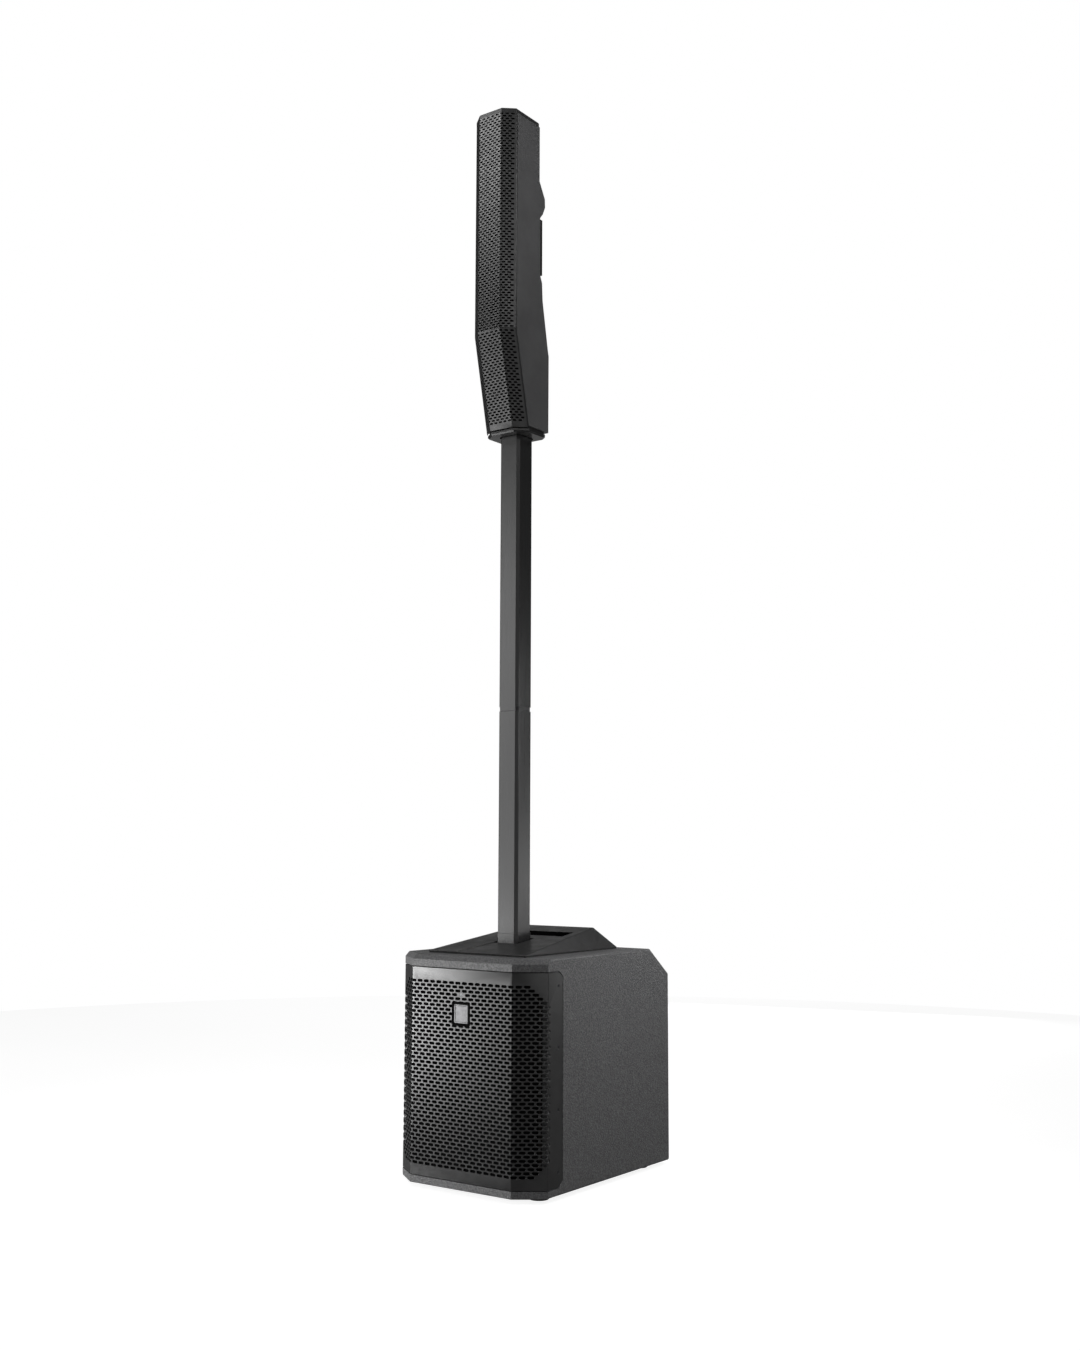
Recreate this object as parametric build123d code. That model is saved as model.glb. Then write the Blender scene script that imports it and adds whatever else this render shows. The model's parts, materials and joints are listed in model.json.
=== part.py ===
"""Column PA system: a ported subwoofer cabinet, a two-part pole and a slim line array on top.

Everything is modelled with y = 0 on the cabinet's front face and y growing towards the back. The export
moves it by half the cabinet's depth, so that the row's origin is the middle of the footprint, on the floor.
"""
import os
from math import atan2, cos, degrees, hypot, pi, sin, tan

from build123d import *

# ---------------------------------------------------------------- driving dimensions, millimetres
# subwoofer cabinet
SUB_WIDTH = 331.0
SUB_DEPTH = 445.0
SUB_TOP = 416.5
FOOT_HEIGHT = 8.5
FACET_HALF = 114.5          # half width of the flat centre of the front
FACET_DEPTH = 37.7          # how far back the angled front corners reach
WALL = 15.0                 # plywood thickness
BAFFLE_Y = 45.0             # front face of the baffle board
BAFFLE_THICK = 18.0
TOP_BEVEL = 9.0             # bevel along the front top edges
REAR_CUT_Y = 377.0          # where the sloping rear top face starts
REAR_CUT_Z = 365.3          # and where it ends on the back
EDGE_RADIUS = 4.0
HALF = SUB_WIDTH / 2

# subwoofer grille
SHEET = 1.5
GRILLE_LOW = 22.8
GRILLE_HIGH = 392.9
FLANGE_Y = 82.0             # rear edge of the grille's side flanges
FLANGE_CORNER = (12.2, 9.5)  # cut corner of a flange, along y and z
OUTLINE_GAP = 1.3
SCREW_Y = 68.8
SCREW_ROWS = (49.2, 155.3, 262.3, 368.8)
BADGE = 38.0
BADGE_Z = 314.5
LED_Z = 347.9

# drivers: flange radius, hole radius, cone radius, coil radius, basket depth, magnet radius, magnet depth
WOOFER = dict(flange=130.0, hole=114.0, cone=97.0, coil=32.0, basket=72.0, magnet=68.0, motor=48.0, lip=4.0,
              wall=2.5, screw=2.6, screws=8)
WOOFER_Z = 250.0
TWEETER = dict(flange=35.0, hole=31.0, cone=24.5, coil=10.0, basket=15.0, magnet=21.0, motor=15.0, lip=2.6,
               wall=1.4, screw=1.3, screws=4)
PORT_X = 92.0
PORT_Z = 74.0
PORT_RADIUS = 30.0
PORT_LENGTH = 160.0

# top housing: a moulded wedge with the carrying slot and the pole's socket
HOUSING_HALF = 113.0
HOUSING_FRONT = 41.0
HOUSING_REAR = 341.0
HOUSING_BASE = 419.5        # top of the dark gasket under it
HOUSING_LIP = 1.2           # height of its front edge
RIDGE_Y = 301.0
RIDGE_Z = 457.8
RIDGE_HALF = 84.0
MOULD = 4.0                 # wall thickness of the moulding
SLOT_HALF = 75.0
SLOT_FRONT = 209.0
SLOT_REAR = 247.0
POCKET_REAR = 287.0
POCKET_FLOOR = 386.0
BAR_THICK = 17.0
LEAD_HALF = 49.0            # the lead-in to the socket, at the housing's front edge
LEAD_DEPTH = 0.7

# pole
POLE_HALF = 23.5
POLE_FACE_HALF = 18.2
POLE_FRONT = 132.7
POLE_REAR = 180.7
POLE_BEVEL = 5.3
POLE_WALL = 2.6
POLE_BOTTOM = 430.0
JOINT_LOW = 869.7
JOINT_HIGH = 878.4
POLE_TOP = 1420.0
SPIGOT = (20.0, 20.4)       # half sizes of the spigots, x and y
SPIGOT_CLEAR = 0.3
SOCKET_HALF = 29.5
SOCKET_BOTTOM = 342.0
WELL_FRONT = POLE_FRONT - 1.2
WELL_REAR = POLE_REAR + 2.5
WELL_FLOOR = 396.0

# array
ARRAY_HALF = 50.1
ARRAY_FACE_HALF = 27.0
ARRAY_FOLD = 19.5           # depth of the array's angled front corners
ARRAY_FRONT = 66.3
ARRAY_TOP = 2045.0
ARRAY_CAP = 9.0
TOP_CAP_SLOPE = 6.0
BOTTOM_CAP = 12.0
CAP_PLATE = 6.5
SHADOW_GAP = 3.0
ARRAY_BEND_Z = 1601.0
ARRAY_LOW = 1407.0
ARRAY_GRILLE_LOW = 1415.0
ARRAY_SLANT = (105.5 - 66.3) / (1601.0 - 1423.6)   # how fast the lower section leans back
ARRAY_WALL = 3.5
GRILLE_GAP = 3.2            # dark gap between the grille's edge and the side wall
ARRAY_BAFFLE = 22.5         # how far the driver board lies behind the grille
ARRAY_PITCH = 71.5
LOWER_PITCH = 76.0
ARRAY_SOCKET_TOP = 1462.0
GRIP_LOW = 1732.0
GRIP_HIGH = 1849.0
GRIP_WALL = 136.0           # bottom of the grip recess, behind the front
GRIP_SEAT = 165.5           # rear edge of the side walls beside the grip frame
GRIP_BACK = 175.0
GRIP_RAIL = 48.3            # half width of the grip frame

# rear panel
PANEL_HALF = 122.0
PANEL_LOW = 104.0
PANEL_HIGH = 352.0
PANEL_RECESS = 25.0
PANEL_FLANGE = 12.0

POLE_MID = (POLE_FRONT + POLE_REAR) / 2
TILT = degrees(atan2(ARRAY_SLANT, 1.0))
BIG = 600.0


# ---------------------------------------------------------------- helpers
def block(x0, x1, y0, y1, z0, z1):
    """A box given by its two ends along each axis."""
    return Pos((x0 + x1) / 2, (y0 + y1) / 2, (z0 + z1) / 2) * Box(abs(x1 - x0), abs(y1 - y0), abs(z1 - z0))


def prism_z(points, z0, z1):
    """Polygon of (x, y) points, extruded upwards."""
    face = make_face(Polyline(*[(x, y, z0) for x, y in points], close=True))
    return extrude(face, z1 - z0, dir=(0, 0, 1))


def prism_x(points, x0, x1):
    """Polygon of (y, z) points, extruded sideways."""
    face = make_face(Polyline(*[(x0, y, z) for y, z in points], close=True))
    return extrude(face, x1 - x0, dir=(1, 0, 0))


def rod_z(radius, x, y, z0, z1):
    return Pos(x, y, (z0 + z1) / 2) * Cylinder(radius, abs(z1 - z0))


def rod_y(radius, x, z, y0, y1):
    return Pos(x, (y0 + y1) / 2, z) * Rot(X=90) * Cylinder(radius, abs(y1 - y0))


def rod_x(radius, y, z, x0, x1):
    return Pos((x0 + x1) / 2, y, z) * Rot(Y=90) * Cylinder(radius, abs(x1 - x0))


def turned(points):
    """Solid of revolution about Y from (radius, y) points."""
    face = make_face(Polyline(*[(r, y, 0) for r, y in points], close=True))
    return revolve(face, Axis.Y, 360)


def cut_plane(shape, point, normal):
    """Take away what lies beyond a plane."""
    plane = Plane(origin=point, z_dir=normal)
    return shape - plane * Pos(0, 0, BIG) * Box(4 * BIG, 4 * BIG, 2 * BIG)


def mirrored(shape):
    return mirror(shape, Plane.YZ)


def both(shape):
    return [shape, mirrored(shape)]


def facets(half, face_half, fold, front, inset=0.0):
    """Front outline of a cabinet with two angled corners, from +x to -x, set back by inset."""
    angle = atan2(fold, half - face_half)
    turn_front = tan(angle / 2) * inset
    turn_side = tan((pi / 2 - angle) / 2) * inset
    return [(half - inset, front + fold + turn_side), (face_half - turn_front, front + inset),
            (-face_half + turn_front, front + inset), (-half + inset, front + fold + turn_side)]


def folded_sheet(half, face_half, fold, front, rear, thick, inset=0.0):
    """Plan outline of a folded sheet: its outer line, then its inner line back again."""
    outer = facets(half, face_half, fold, front, inset)
    inner = facets(half, face_half, fold, front, inset + thick)
    return [(half - inset, rear)] + outer + [(-half + inset, rear), (-half + inset + thick, rear)] \
        + inner[::-1] + [(half - inset - thick, rear)]


def save(node, shape):
    """Write one node; a list is a group of separate solids."""
    solids = shape if isinstance(shape, list) else [shape]
    flat = []
    for piece in solids:
        flat.extend(piece.solids())
    moved = [Pos(0, -SUB_DEPTH / 2, 0) * s for s in flat]
    part = moved[0] if len(moved) == 1 else Compound(children=moved)
    part.label = node
    export_step(part, f"parts/{node}.step")


# ---------------------------------------------------------------- subwoofer cabinet
def cabinet_plan(inset=0.0):
    front = facets(HALF, FACET_HALF, FACET_DEPTH, 0.0, inset)
    return front + [(-HALF + inset, SUB_DEPTH - inset), (HALF - inset, SUB_DEPTH - inset)]


def sub_cabinet():
    shell = prism_z(cabinet_plan(), FOOT_HEIGHT, SUB_TOP)
    slope = (SUB_DEPTH - REAR_CUT_Y, SUB_TOP - REAR_CUT_Z)
    shell = cut_plane(shell, (0, REAR_CUT_Y, SUB_TOP), (0, slope[1], slope[0]))
    soft = [e for e in shell.edges() if e.center().Y > FACET_DEPTH + 1]
    shell = fillet(soft, EDGE_RADIUS)
    angle = atan2(FACET_DEPTH, HALF - FACET_HALF)
    for side in (-1, 1):
        outward = (side * sin(angle), -cos(angle), 1)
        shell = cut_plane(shell, (side * FACET_HALF, 0, SUB_TOP - TOP_BEVEL), outward)
    shell = cut_plane(shell, (0, 0, SUB_TOP - TOP_BEVEL), (0, -1, 1))
    inner = HALF - WALL
    # room for the grille in front of the baffle, and the pocket that the baffle board sits in
    low, high = GRILLE_LOW - OUTLINE_GAP, GRILLE_HIGH + OUTLINE_GAP
    shell -= block(-BIG, BIG, -50, BAFFLE_Y - 4, low, high)
    shell -= block(-inner, inner, BAFFLE_Y - 5, BAFFLE_Y, low, high)
    cavity = prism_x([(BAFFLE_Y, FOOT_HEIGHT + WALL), (SUB_DEPTH - WALL, FOOT_HEIGHT + WALL),
                      (SUB_DEPTH - WALL, REAR_CUT_Z - 7), (REAR_CUT_Y - 7, SUB_TOP - WALL),
                      (BAFFLE_Y, SUB_TOP - WALL)], -inner, inner)
    shell -= cavity
    # rebates that let the grille's side flanges lie flush
    for side in (-1, 1):
        shell -= flange_plate(OUTLINE_GAP, side)
        for z in SCREW_ROWS:
            shell -= rod_x(1.6, SCREW_Y, z, side * (HALF - 13), side * HALF)
    # openings for the housing's pocket and socket, the rear panel and the feet screws
    shell -= block(-SLOT_HALF - 7, SLOT_HALF + 7, SLOT_FRONT - 8, POCKET_REAR + 8,
                   SUB_TOP - WALL - 9, SUB_TOP + 9)
    shell -= block(-SOCKET_HALF - 8, SOCKET_HALF + 8, POLE_FRONT - 9, POLE_REAR + 10,
                   SUB_TOP - WALL - 9, SUB_TOP + 9)
    shell -= block(-PANEL_HALF - 0.8, PANEL_HALF + 0.8, SUB_DEPTH - 3, SUB_DEPTH + 9,
                   PANEL_LOW - 0.8, PANEL_HIGH + 0.8)
    dish = PANEL_HALF - PANEL_FLANGE + 1
    shell -= block(-dish, dish, SUB_DEPTH - WALL - 9, SUB_DEPTH + 9,
                   PANEL_LOW + PANEL_FLANGE - 1, PANEL_HIGH - PANEL_FLANGE + 1)
    for x, z in panel_screw_places():
        shell -= rod_y(1.6, x, z, SUB_DEPTH - 14, SUB_DEPTH)
    for x, y in foot_places():
        shell -= rod_z(2.1, x, y, FOOT_HEIGHT - 1, FOOT_HEIGHT + 12)
    return shell


def flange_plate(grow, side):
    """The volume of one side flange of the grille, grown by a gap."""
    dy, dz = FLANGE_CORNER
    low, high, rear = GRILLE_LOW - grow, GRILLE_HIGH + grow, FLANGE_Y + grow
    corner = 0.4 * grow
    points = [(FACET_DEPTH, low), (rear - dy - corner, low), (rear, low + dz + corner),
              (rear, high - dz - corner), (rear - dy - corner, high), (FACET_DEPTH, high)]
    inner = side * (HALF - SHEET)
    outer = side * (HALF + (grow if grow else 0))
    return prism_x(points, min(inner, outer), max(inner, outer))


def sub_grille():
    sheet = prism_z(folded_sheet(HALF, FACET_HALF, FACET_DEPTH, 0.0, FACET_DEPTH + 4, SHEET),
                    GRILLE_LOW, GRILLE_HIGH)
    for side in (-1, 1):
        sheet += flange_plate(0, side)
        for z in SCREW_ROWS:
            sheet -= rod_x(3.3, SCREW_Y, z, side * (HALF - SHEET - 1), side * (HALF + 1))
    hole = BADGE / 2 + 1.5
    sheet -= block(-hole, hole, -5, 5, BADGE_Z - hole, BADGE_Z + hole)
    sheet -= rod_y(2.8, 0, LED_Z, -5, 5)
    return sheet


def sub_grille_foam():
    """Acoustic foam that lines the back of the grille."""
    thick = 5.0
    inset = SHEET + 0.2
    plan = facets(HALF, FACET_HALF, FACET_DEPTH, 0.0, inset)
    back = facets(HALF, FACET_HALF, FACET_DEPTH, 0.0, inset + thick)
    side = HALF - WALL - 2
    gap = BADGE / 2 + 6
    trimmed = prism_z(plan + back[::-1], GRILLE_LOW + 2, GRILLE_HIGH - 2)
    trimmed &= block(-side, side, -5, BAFFLE_Y - 6, 0, SUB_TOP)
    trimmed -= block(-gap, gap, -5, 12, BADGE_Z - gap, BADGE_Z + gap)
    return trimmed - rod_y(4.5, 0, LED_Z, -5, 12)


def front_baffle():
    inner = HALF - WALL
    board = block(-inner, inner, BAFFLE_Y, BAFFLE_Y + BAFFLE_THICK, FOOT_HEIGHT + WALL, SUB_TOP - WALL)
    board -= rod_y(WOOFER["hole"], 0, WOOFER_Z, 0, BIG)
    for x in (-PORT_X, PORT_X):
        board -= rod_y(PORT_RADIUS + 3, x, PORT_Z, 0, BIG)
    for x, z in ring_places(WOOFER["flange"] - 8, WOOFER["screws"]):
        board -= rod_y(WOOFER["screw"], x, WOOFER_Z + z, BAFFLE_Y - 1, BAFFLE_Y + 16)
    return board


def port_tubes():
    profile = [(PORT_RADIUS + 1.2, -4), (PORT_RADIUS + 10, -4), (PORT_RADIUS + 10, 0), (PORT_RADIUS + 3, 0),
               (PORT_RADIUS + 3, PORT_LENGTH), (PORT_RADIUS, PORT_LENGTH), (PORT_RADIUS, -1)]
    tube = Pos(PORT_X, BAFFLE_Y, PORT_Z) * turned(profile)
    return both(tube)


def cabinet_brace():
    """Plywood window brace behind the woofer."""
    inner = HALF - WALL
    y0 = 232.0
    top = 372.0
    board = block(-inner, inner, y0, y0 + 12, FOOT_HEIGHT + WALL, top)
    board -= block(-105, 105, y0 - 5, y0 + 20, 62, top - 44)
    return board


# ---------------------------------------------------------------- drivers
def ring_places(radius, count):
    step = 2 * pi / count
    return [(radius * cos(step * (k + 0.5)), radius * sin(step * (k + 0.5))) for k in range(count)]


def driver_frame(d):
    """Flange, basket and its windows. The flange's back is at y = 0 and the driver faces -y."""
    wall = d["wall"]
    neck = d["coil"] + 4 * wall
    seat = d["hole"] - 2 * wall
    end = d["basket"]
    profile = [(seat - wall, -d["lip"]), (d["flange"], -d["lip"]), (d["flange"], 0), (seat, 0),
               (d["magnet"] * 0.9, end - 2 * wall), (d["magnet"] * 0.9, end), (neck, end), (neck, end - wall),
               (d["magnet"] * 0.9 - wall, end - 2 * wall - wall), (seat - wall, 0)]
    frame = turned(profile)
    low = 0.22 * end
    window = 0.5 * end
    for k in range(6):
        half = 0.3 * d["magnet"]
        spoke = Rot(Y=60 * k) * block(-half, half, low, low + window, 0, d["flange"])
        frame -= spoke
    for x, z in ring_places(d["flange"] - (8 if d is WOOFER else 3.2), d["screws"]):
        frame -= rod_y(d["screw"] + 0.15, x, z, -d["lip"] - 1, 1)
    return frame


def driver_motor(d):
    """Magnet with the annular gap that the voice coil moves in."""
    start = d["basket"]
    end = start + d["motor"]
    gap = 0.08 * d["coil"] + 0.7
    motor = rod_y(d["magnet"], 0, 0, start, end)
    depth = 0.62 * d["motor"]
    ring = rod_y(d["coil"] + gap, 0, 0, start - 1, start + depth) \
        - rod_y(d["coil"] - gap, 0, 0, start - 2, start + depth + 1)
    return motor - ring


def driver_cone(d):
    """Cone, dust cap and voice coil former as one moving piece."""
    rim = -0.35 * d["lip"]
    neck_y = 0.52 * d["basket"]
    skin = 0.012 * d["cone"] + 0.5
    return turned(cone_outline(d, rim, neck_y, skin))


def cone_outline(d, rim, neck_y, skin):
    """Closed outline of the cone: outer skin, former, inside of the dust cap and its front."""
    coil = d["coil"]
    tail = d["basket"] + 0.32 * d["motor"]
    height = 0.42 * coil
    back = [(d["cone"], rim), (d["cone"], rim + skin),
            (coil + skin, neck_y + skin), (coil + 0.35, neck_y + skin), (coil + 0.35, tail),
            (coil - 0.35, tail), (coil - 0.35, neck_y), (0, neck_y - height + skin)]
    front = [(coil * k, neck_y - skin - height * (1 - k * k)) for k in (0.0, 0.4, 0.75, 1.0)]
    return back + front


def driver_surround(d):
    """Half roll between the cone and the flange, fixed to the flange."""
    inner = d["cone"] + 0.4
    outer = d["hole"] - 3 * d["wall"] - 0.1
    mid = (inner + outer) / 2
    roll = (outer - inner) / 2
    wall = 0.3 * d["wall"]
    base = -0.3 * d["lip"]
    arc = [(mid + roll * cos(pi * k / 8), base - 0.75 * roll * sin(pi * k / 8)) for k in range(9)]
    under = [(mid + (roll - wall) * cos(pi * k / 8), base + wall - 0.75 * (roll - wall) * sin(pi * k / 8))
             for k in range(8, -1, -1)]
    return turned(arc + under)


def driver_screws(d, inset):
    length = 12.0 if d is WOOFER else 5.0
    pieces = []
    for x, z in ring_places(d["flange"] - inset, d["screws"]):
        head = rod_y(d["screw"] * 1.9, x, z, -d["lip"] - 0.55 * d["screw"] * 1.9, -d["lip"])
        pieces.append(head + rod_y(d["screw"] * 0.97, x, z, -d["lip"] - 0.5, length - d["lip"]))
    return pieces


def woofer_place():
    return Pos(0, BAFFLE_Y, WOOFER_Z)


def spider():
    """Corrugated suspension disc behind the cone, fixed to the basket."""
    y = 0.70 * WOOFER["basket"]
    inner = WOOFER["coil"] + 1.2
    outer = 0.82 * WOOFER["magnet"]
    steps = 24
    top = []
    for k in range(steps + 1):
        r = inner + (outer - inner) * k / steps
        top.append((r, y + 1.2 * sin(2 * pi * 4 * k / steps)))
    low = [(r, v + 0.8) for r, v in top[::-1]]
    return turned(top + low)


# ---------------------------------------------------------------- top housing, gasket, socket
def top_slope():
    return (RIDGE_Z - HOUSING_BASE - HOUSING_LIP) / (RIDGE_Y - HOUSING_FRONT)


def deck_z(y):
    """Height of the housing's sloping top at a distance behind the front."""
    return HOUSING_BASE + HOUSING_LIP + top_slope() * (y - HOUSING_FRONT)


def wedge(inset):
    """Outer shape of the housing, or with an inset the room inside its walls."""
    run = HOUSING_HALF - RIDGE_HALF
    rise = RIDGE_Z - HOUSING_BASE
    front = HOUSING_FRONT + 7 * inset
    drop = 1.2 * inset
    points = [(front, HOUSING_BASE), (front, max(deck_z(front) - drop, HOUSING_BASE + 0.1)),
              (RIDGE_Y - 0.3 * inset, RIDGE_Z - drop), (HOUSING_REAR - 1.5 * inset, HOUSING_BASE)]
    body = prism_x(points, -HOUSING_HALF, HOUSING_HALF)
    start = HOUSING_HALF - inset * hypot(run, rise) / rise
    for side in (-1, 1):
        body = cut_plane(body, (side * start, 0, HOUSING_BASE), (side * rise, 0, run))
    return body


def under_deck(shape):
    """Keep what lies below the housing's sloping top."""
    low = 300.0
    side_view = [(HOUSING_FRONT, low), (HOUSING_REAR, low), (HOUSING_REAR, HOUSING_BASE),
                 (RIDGE_Y, RIDGE_Z - 2), (HOUSING_FRONT, deck_z(HOUSING_FRONT) - 2)]
    return shape & prism_x(side_view, -HOUSING_HALF, HOUSING_HALF)


def top_housing():
    body = wedge(0)
    crest = [e for e in body.edges() if e.center().Z > HOUSING_BASE + 8 and abs(e.center().X) > 20]
    ridge = [e for e in body.edges() if e.center().Z > RIDGE_Z - 2 and abs(e.center().X) < 1]
    body = fillet(crest + ridge, 3.0)
    tub = under_deck(block(-SLOT_HALF - MOULD, SLOT_HALF + MOULD, SLOT_FRONT - MOULD, POCKET_REAR + MOULD,
                           POCKET_FLOOR - MOULD, RIDGE_Z))
    well = under_deck(block(-SOCKET_HALF - MOULD, SOCKET_HALF + MOULD, WELL_FRONT - MOULD, WELL_REAR + MOULD,
                            WELL_FLOOR, RIDGE_Z))
    body = body + tub + well - (wedge(MOULD) - tub - well)
    # the carrying slot goes down into a pocket that runs back under the bar
    body -= block(-SLOT_HALF, SLOT_HALF, SLOT_FRONT, SLOT_REAR, POCKET_FLOOR, RIDGE_Z + 9)
    bar_low = deck_z(SLOT_REAR) - BAR_THICK
    body -= block(-SLOT_HALF, SLOT_HALF, SLOT_REAR - 1, POCKET_REAR, POCKET_FLOOR, bar_low)
    body -= block(-SOCKET_HALF, SOCKET_HALF, WELL_FRONT, WELL_REAR, WELL_FLOOR - 1, RIDGE_Z + 9)
    # a shallow lead-in narrows from the front edge to the socket
    front = HOUSING_FRONT - 5
    plan = [(-LEAD_HALF, front), (LEAD_HALF, front), (SOCKET_HALF, POLE_FRONT), (-SOCKET_HALF, POLE_FRONT)]
    lead = prism_z(plan, HOUSING_BASE - 9, RIDGE_Z + 9)
    above = prism_x([(front, deck_z(front) - LEAD_DEPTH), (front, RIDGE_Z + 20), (POLE_REAR, RIDGE_Z + 20),
                     (POLE_REAR, deck_z(POLE_REAR) - LEAD_DEPTH)], -HOUSING_HALF, HOUSING_HALF)
    return body - (lead & above)


def housing_gasket():
    low, high = SUB_TOP, HOUSING_BASE
    outer, inner = HOUSING_HALF - 1.6, HOUSING_HALF - 12
    ring = block(-outer, outer, HOUSING_FRONT + 1.6, HOUSING_REAR - 1.6, low, high)
    return ring - block(-inner, inner, HOUSING_FRONT + 12, HOUSING_REAR - 12, low - 1, high + 1)


def pole_socket():
    """Guide block in the housing's well. The pole's foot rests on its top and the spigot goes through it."""
    x, y = SOCKET_HALF - 0.2, (POLE_REAR - POLE_FRONT) / 2 + 1.0
    body = block(-x, x, POLE_MID - y, POLE_MID + y, SOCKET_BOTTOM, POLE_BOTTOM)
    hole_x, hole_y = SPIGOT[0] + SPIGOT_CLEAR, SPIGOT[1] + SPIGOT_CLEAR
    body -= block(-hole_x, hole_x, POLE_MID - hole_y, POLE_MID + hole_y, SOCKET_BOTTOM + 4, POLE_BOTTOM + 9)
    return body


def contact_grid():
    return [(x, POLE_MID + y) for y in (-8.0, 8.0) for x in (-12.0, -4.0, 4.0, 12.0)]


def contact_socket(z0, z1):
    """Block with a hole for every contact pin; it fills the end of a spigot's hole."""
    x, y = SPIGOT
    body = block(-x, x, POLE_MID - y, POLE_MID + y, z0, z1)
    for px, py in contact_grid():
        body -= rod_z(1.5, px, py, z0 + 2, z1 + 1)
    return body


def contact_pins(z0, z1):
    return [rod_z(1.1, px, py, z0, z1) for px, py in contact_grid()]


# ---------------------------------------------------------------- pole
def pole_outline(grow=0.0):
    half = POLE_HALF + grow
    bevel = POLE_BEVEL + grow * (2 - 2 ** 0.5)
    face = half - bevel
    front, rear = POLE_FRONT - grow, POLE_REAR + grow
    return [(half, front + bevel), (face, front), (-face, front), (-half, front + bevel),
            (-half, rear - bevel), (-face, rear), (face, rear), (half, rear - bevel)]


def tube(z0, z1):
    return prism_z(pole_outline(), z0, z1) - prism_z(pole_outline(-POLE_WALL), z0 - 1, z1 + 1)


def plug(z0, z1, spigot_z0, spigot_z1):
    """Insert that fills the end of a tube and carries a spigot."""
    body = prism_z(pole_outline(-POLE_WALL - 0.1), z0, z1)
    x, y = SPIGOT
    return body + block(-x, x, POLE_MID - y, POLE_MID + y, spigot_z0, spigot_z1)


def lower_pole_collar():
    body = prism_z(pole_outline(1.2), POLE_BOTTOM, POLE_BOTTOM + 21)
    return body - prism_z(pole_outline(0.05), POLE_BOTTOM - 1, POLE_BOTTOM + 22)


def joint_socket():
    """Insert in the top of the lower pole with the hole for the upper pole's spigot."""
    depth = 62.0
    body = prism_z(pole_outline(-POLE_WALL - 0.1), JOINT_LOW - depth, JOINT_LOW)
    x, y = SPIGOT[0] - 1.5 + SPIGOT_CLEAR, SPIGOT[1] - 1.5 + SPIGOT_CLEAR
    return body - block(-x, x, POLE_MID - y, POLE_MID + y, JOINT_LOW - depth + 5, JOINT_LOW + 1)


def joint_ring():
    """Dark ring between the two poles. The upper pole's front wall comes down over its front."""
    body = prism_z(pole_outline(-1.4), JOINT_LOW, JOINT_HIGH)
    face = POLE_FACE_HALF + 0.6
    body -= block(-face, face, 0, POLE_FRONT + POLE_WALL, JOINT_LOW - 1, JOINT_HIGH + 1)
    x, y = SPIGOT[0] - 1.5, SPIGOT[1] - 1.5
    return body - block(-x, x, POLE_MID - y, POLE_MID + y, JOINT_LOW - 1, JOINT_HIGH + 1)


def upper_pole_tube():
    tongue = block(-POLE_FACE_HALF, POLE_FACE_HALF, POLE_FRONT, POLE_FRONT + POLE_WALL - 0.2,
                   JOINT_LOW + 0.3, JOINT_HIGH + 1)
    return tube(JOINT_HIGH, POLE_TOP) + tongue


def upper_pole_spigot():
    body = prism_z(pole_outline(-POLE_WALL - 0.1), JOINT_HIGH, JOINT_HIGH + 40)
    x, y = SPIGOT[0] - 1.5, SPIGOT[1] - 1.5
    return body + block(-x, x, POLE_MID - y, POLE_MID + y, JOINT_LOW - 54, JOINT_HIGH + 1)


# ---------------------------------------------------------------- array
def slant_y(z):
    """How far the grille's line has moved back at a height in the lower section."""
    return max(0.0, (ARRAY_BEND_Z - z) * ARRAY_SLANT)


def front_line(offset, z0, z1):
    """The array's front line, moved back by an offset: (y, z) points from the top down."""
    return [(ARRAY_FRONT + offset + slant_y(z), z) for z in (z1, ARRAY_BEND_Z, z0)]


def array_rear():
    """Rear outline of the array in side view, from the bottom up."""
    return [(195.0, ARRAY_LOW + BOTTOM_CAP), (195.5, 1574.0), (192.6, 1586.0), (185.0, 1626.0),
            (174.5, 1681.0), (172.5, 1717.0), (GRIP_SEAT, GRIP_LOW), (GRIP_SEAT, GRIP_HIGH),
            (174.0, 1859.0), (181.7, 1876.0), (181.0, 1893.0), (163.0, 1924.0), (163.0, ARRAY_TOP - ARRAY_CAP)]


def array_housing():
    edge = ARRAY_FOLD + GRILLE_GAP
    low, high = ARRAY_LOW + BOTTOM_CAP, ARRAY_TOP - ARRAY_CAP
    body = prism_x(array_rear() + front_line(edge, low, high), -ARRAY_HALF, ARRAY_HALF)
    long_edges = [e for e in body.edges() if e.center().Y > 160 and abs(e.center().X) > ARRAY_HALF - 1]
    body = fillet(long_edges, 1.6)
    inside = ARRAY_HALF - ARRAY_WALL
    thick = ARRAY_WALL + 1.5
    rear_in = [(y - thick, z) for y, z in ((195.0, low), (195.5, 1574.0), (185.0, 1624.0), (172.5, 1705.0))]
    rear_in += [(GRIP_WALL - ARRAY_WALL, GRIP_LOW - 14), (GRIP_WALL - ARRAY_WALL, GRIP_HIGH + 12),
                (163.0 - thick, 1890.0), (163.0 - thick, high)]
    body -= prism_x(rear_in + front_line(edge - 30, low, high), -inside, inside)
    floor = block(-inside - 1, inside + 1, ARRAY_FRONT + edge + slant_y(low), 192, low, low + 4)
    floor -= block(-POLE_HALF - 3, POLE_HALF + 3, POLE_FRONT - 3, POLE_REAR + 3, low - 1, low + 9)
    body += floor
    # the rear grip: a recess on both sides of a bar
    body -= block(-inside + 2, inside - 2, GRIP_WALL, 300, GRIP_LOW + 2, GRIP_HIGH - 2)
    return body


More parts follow.
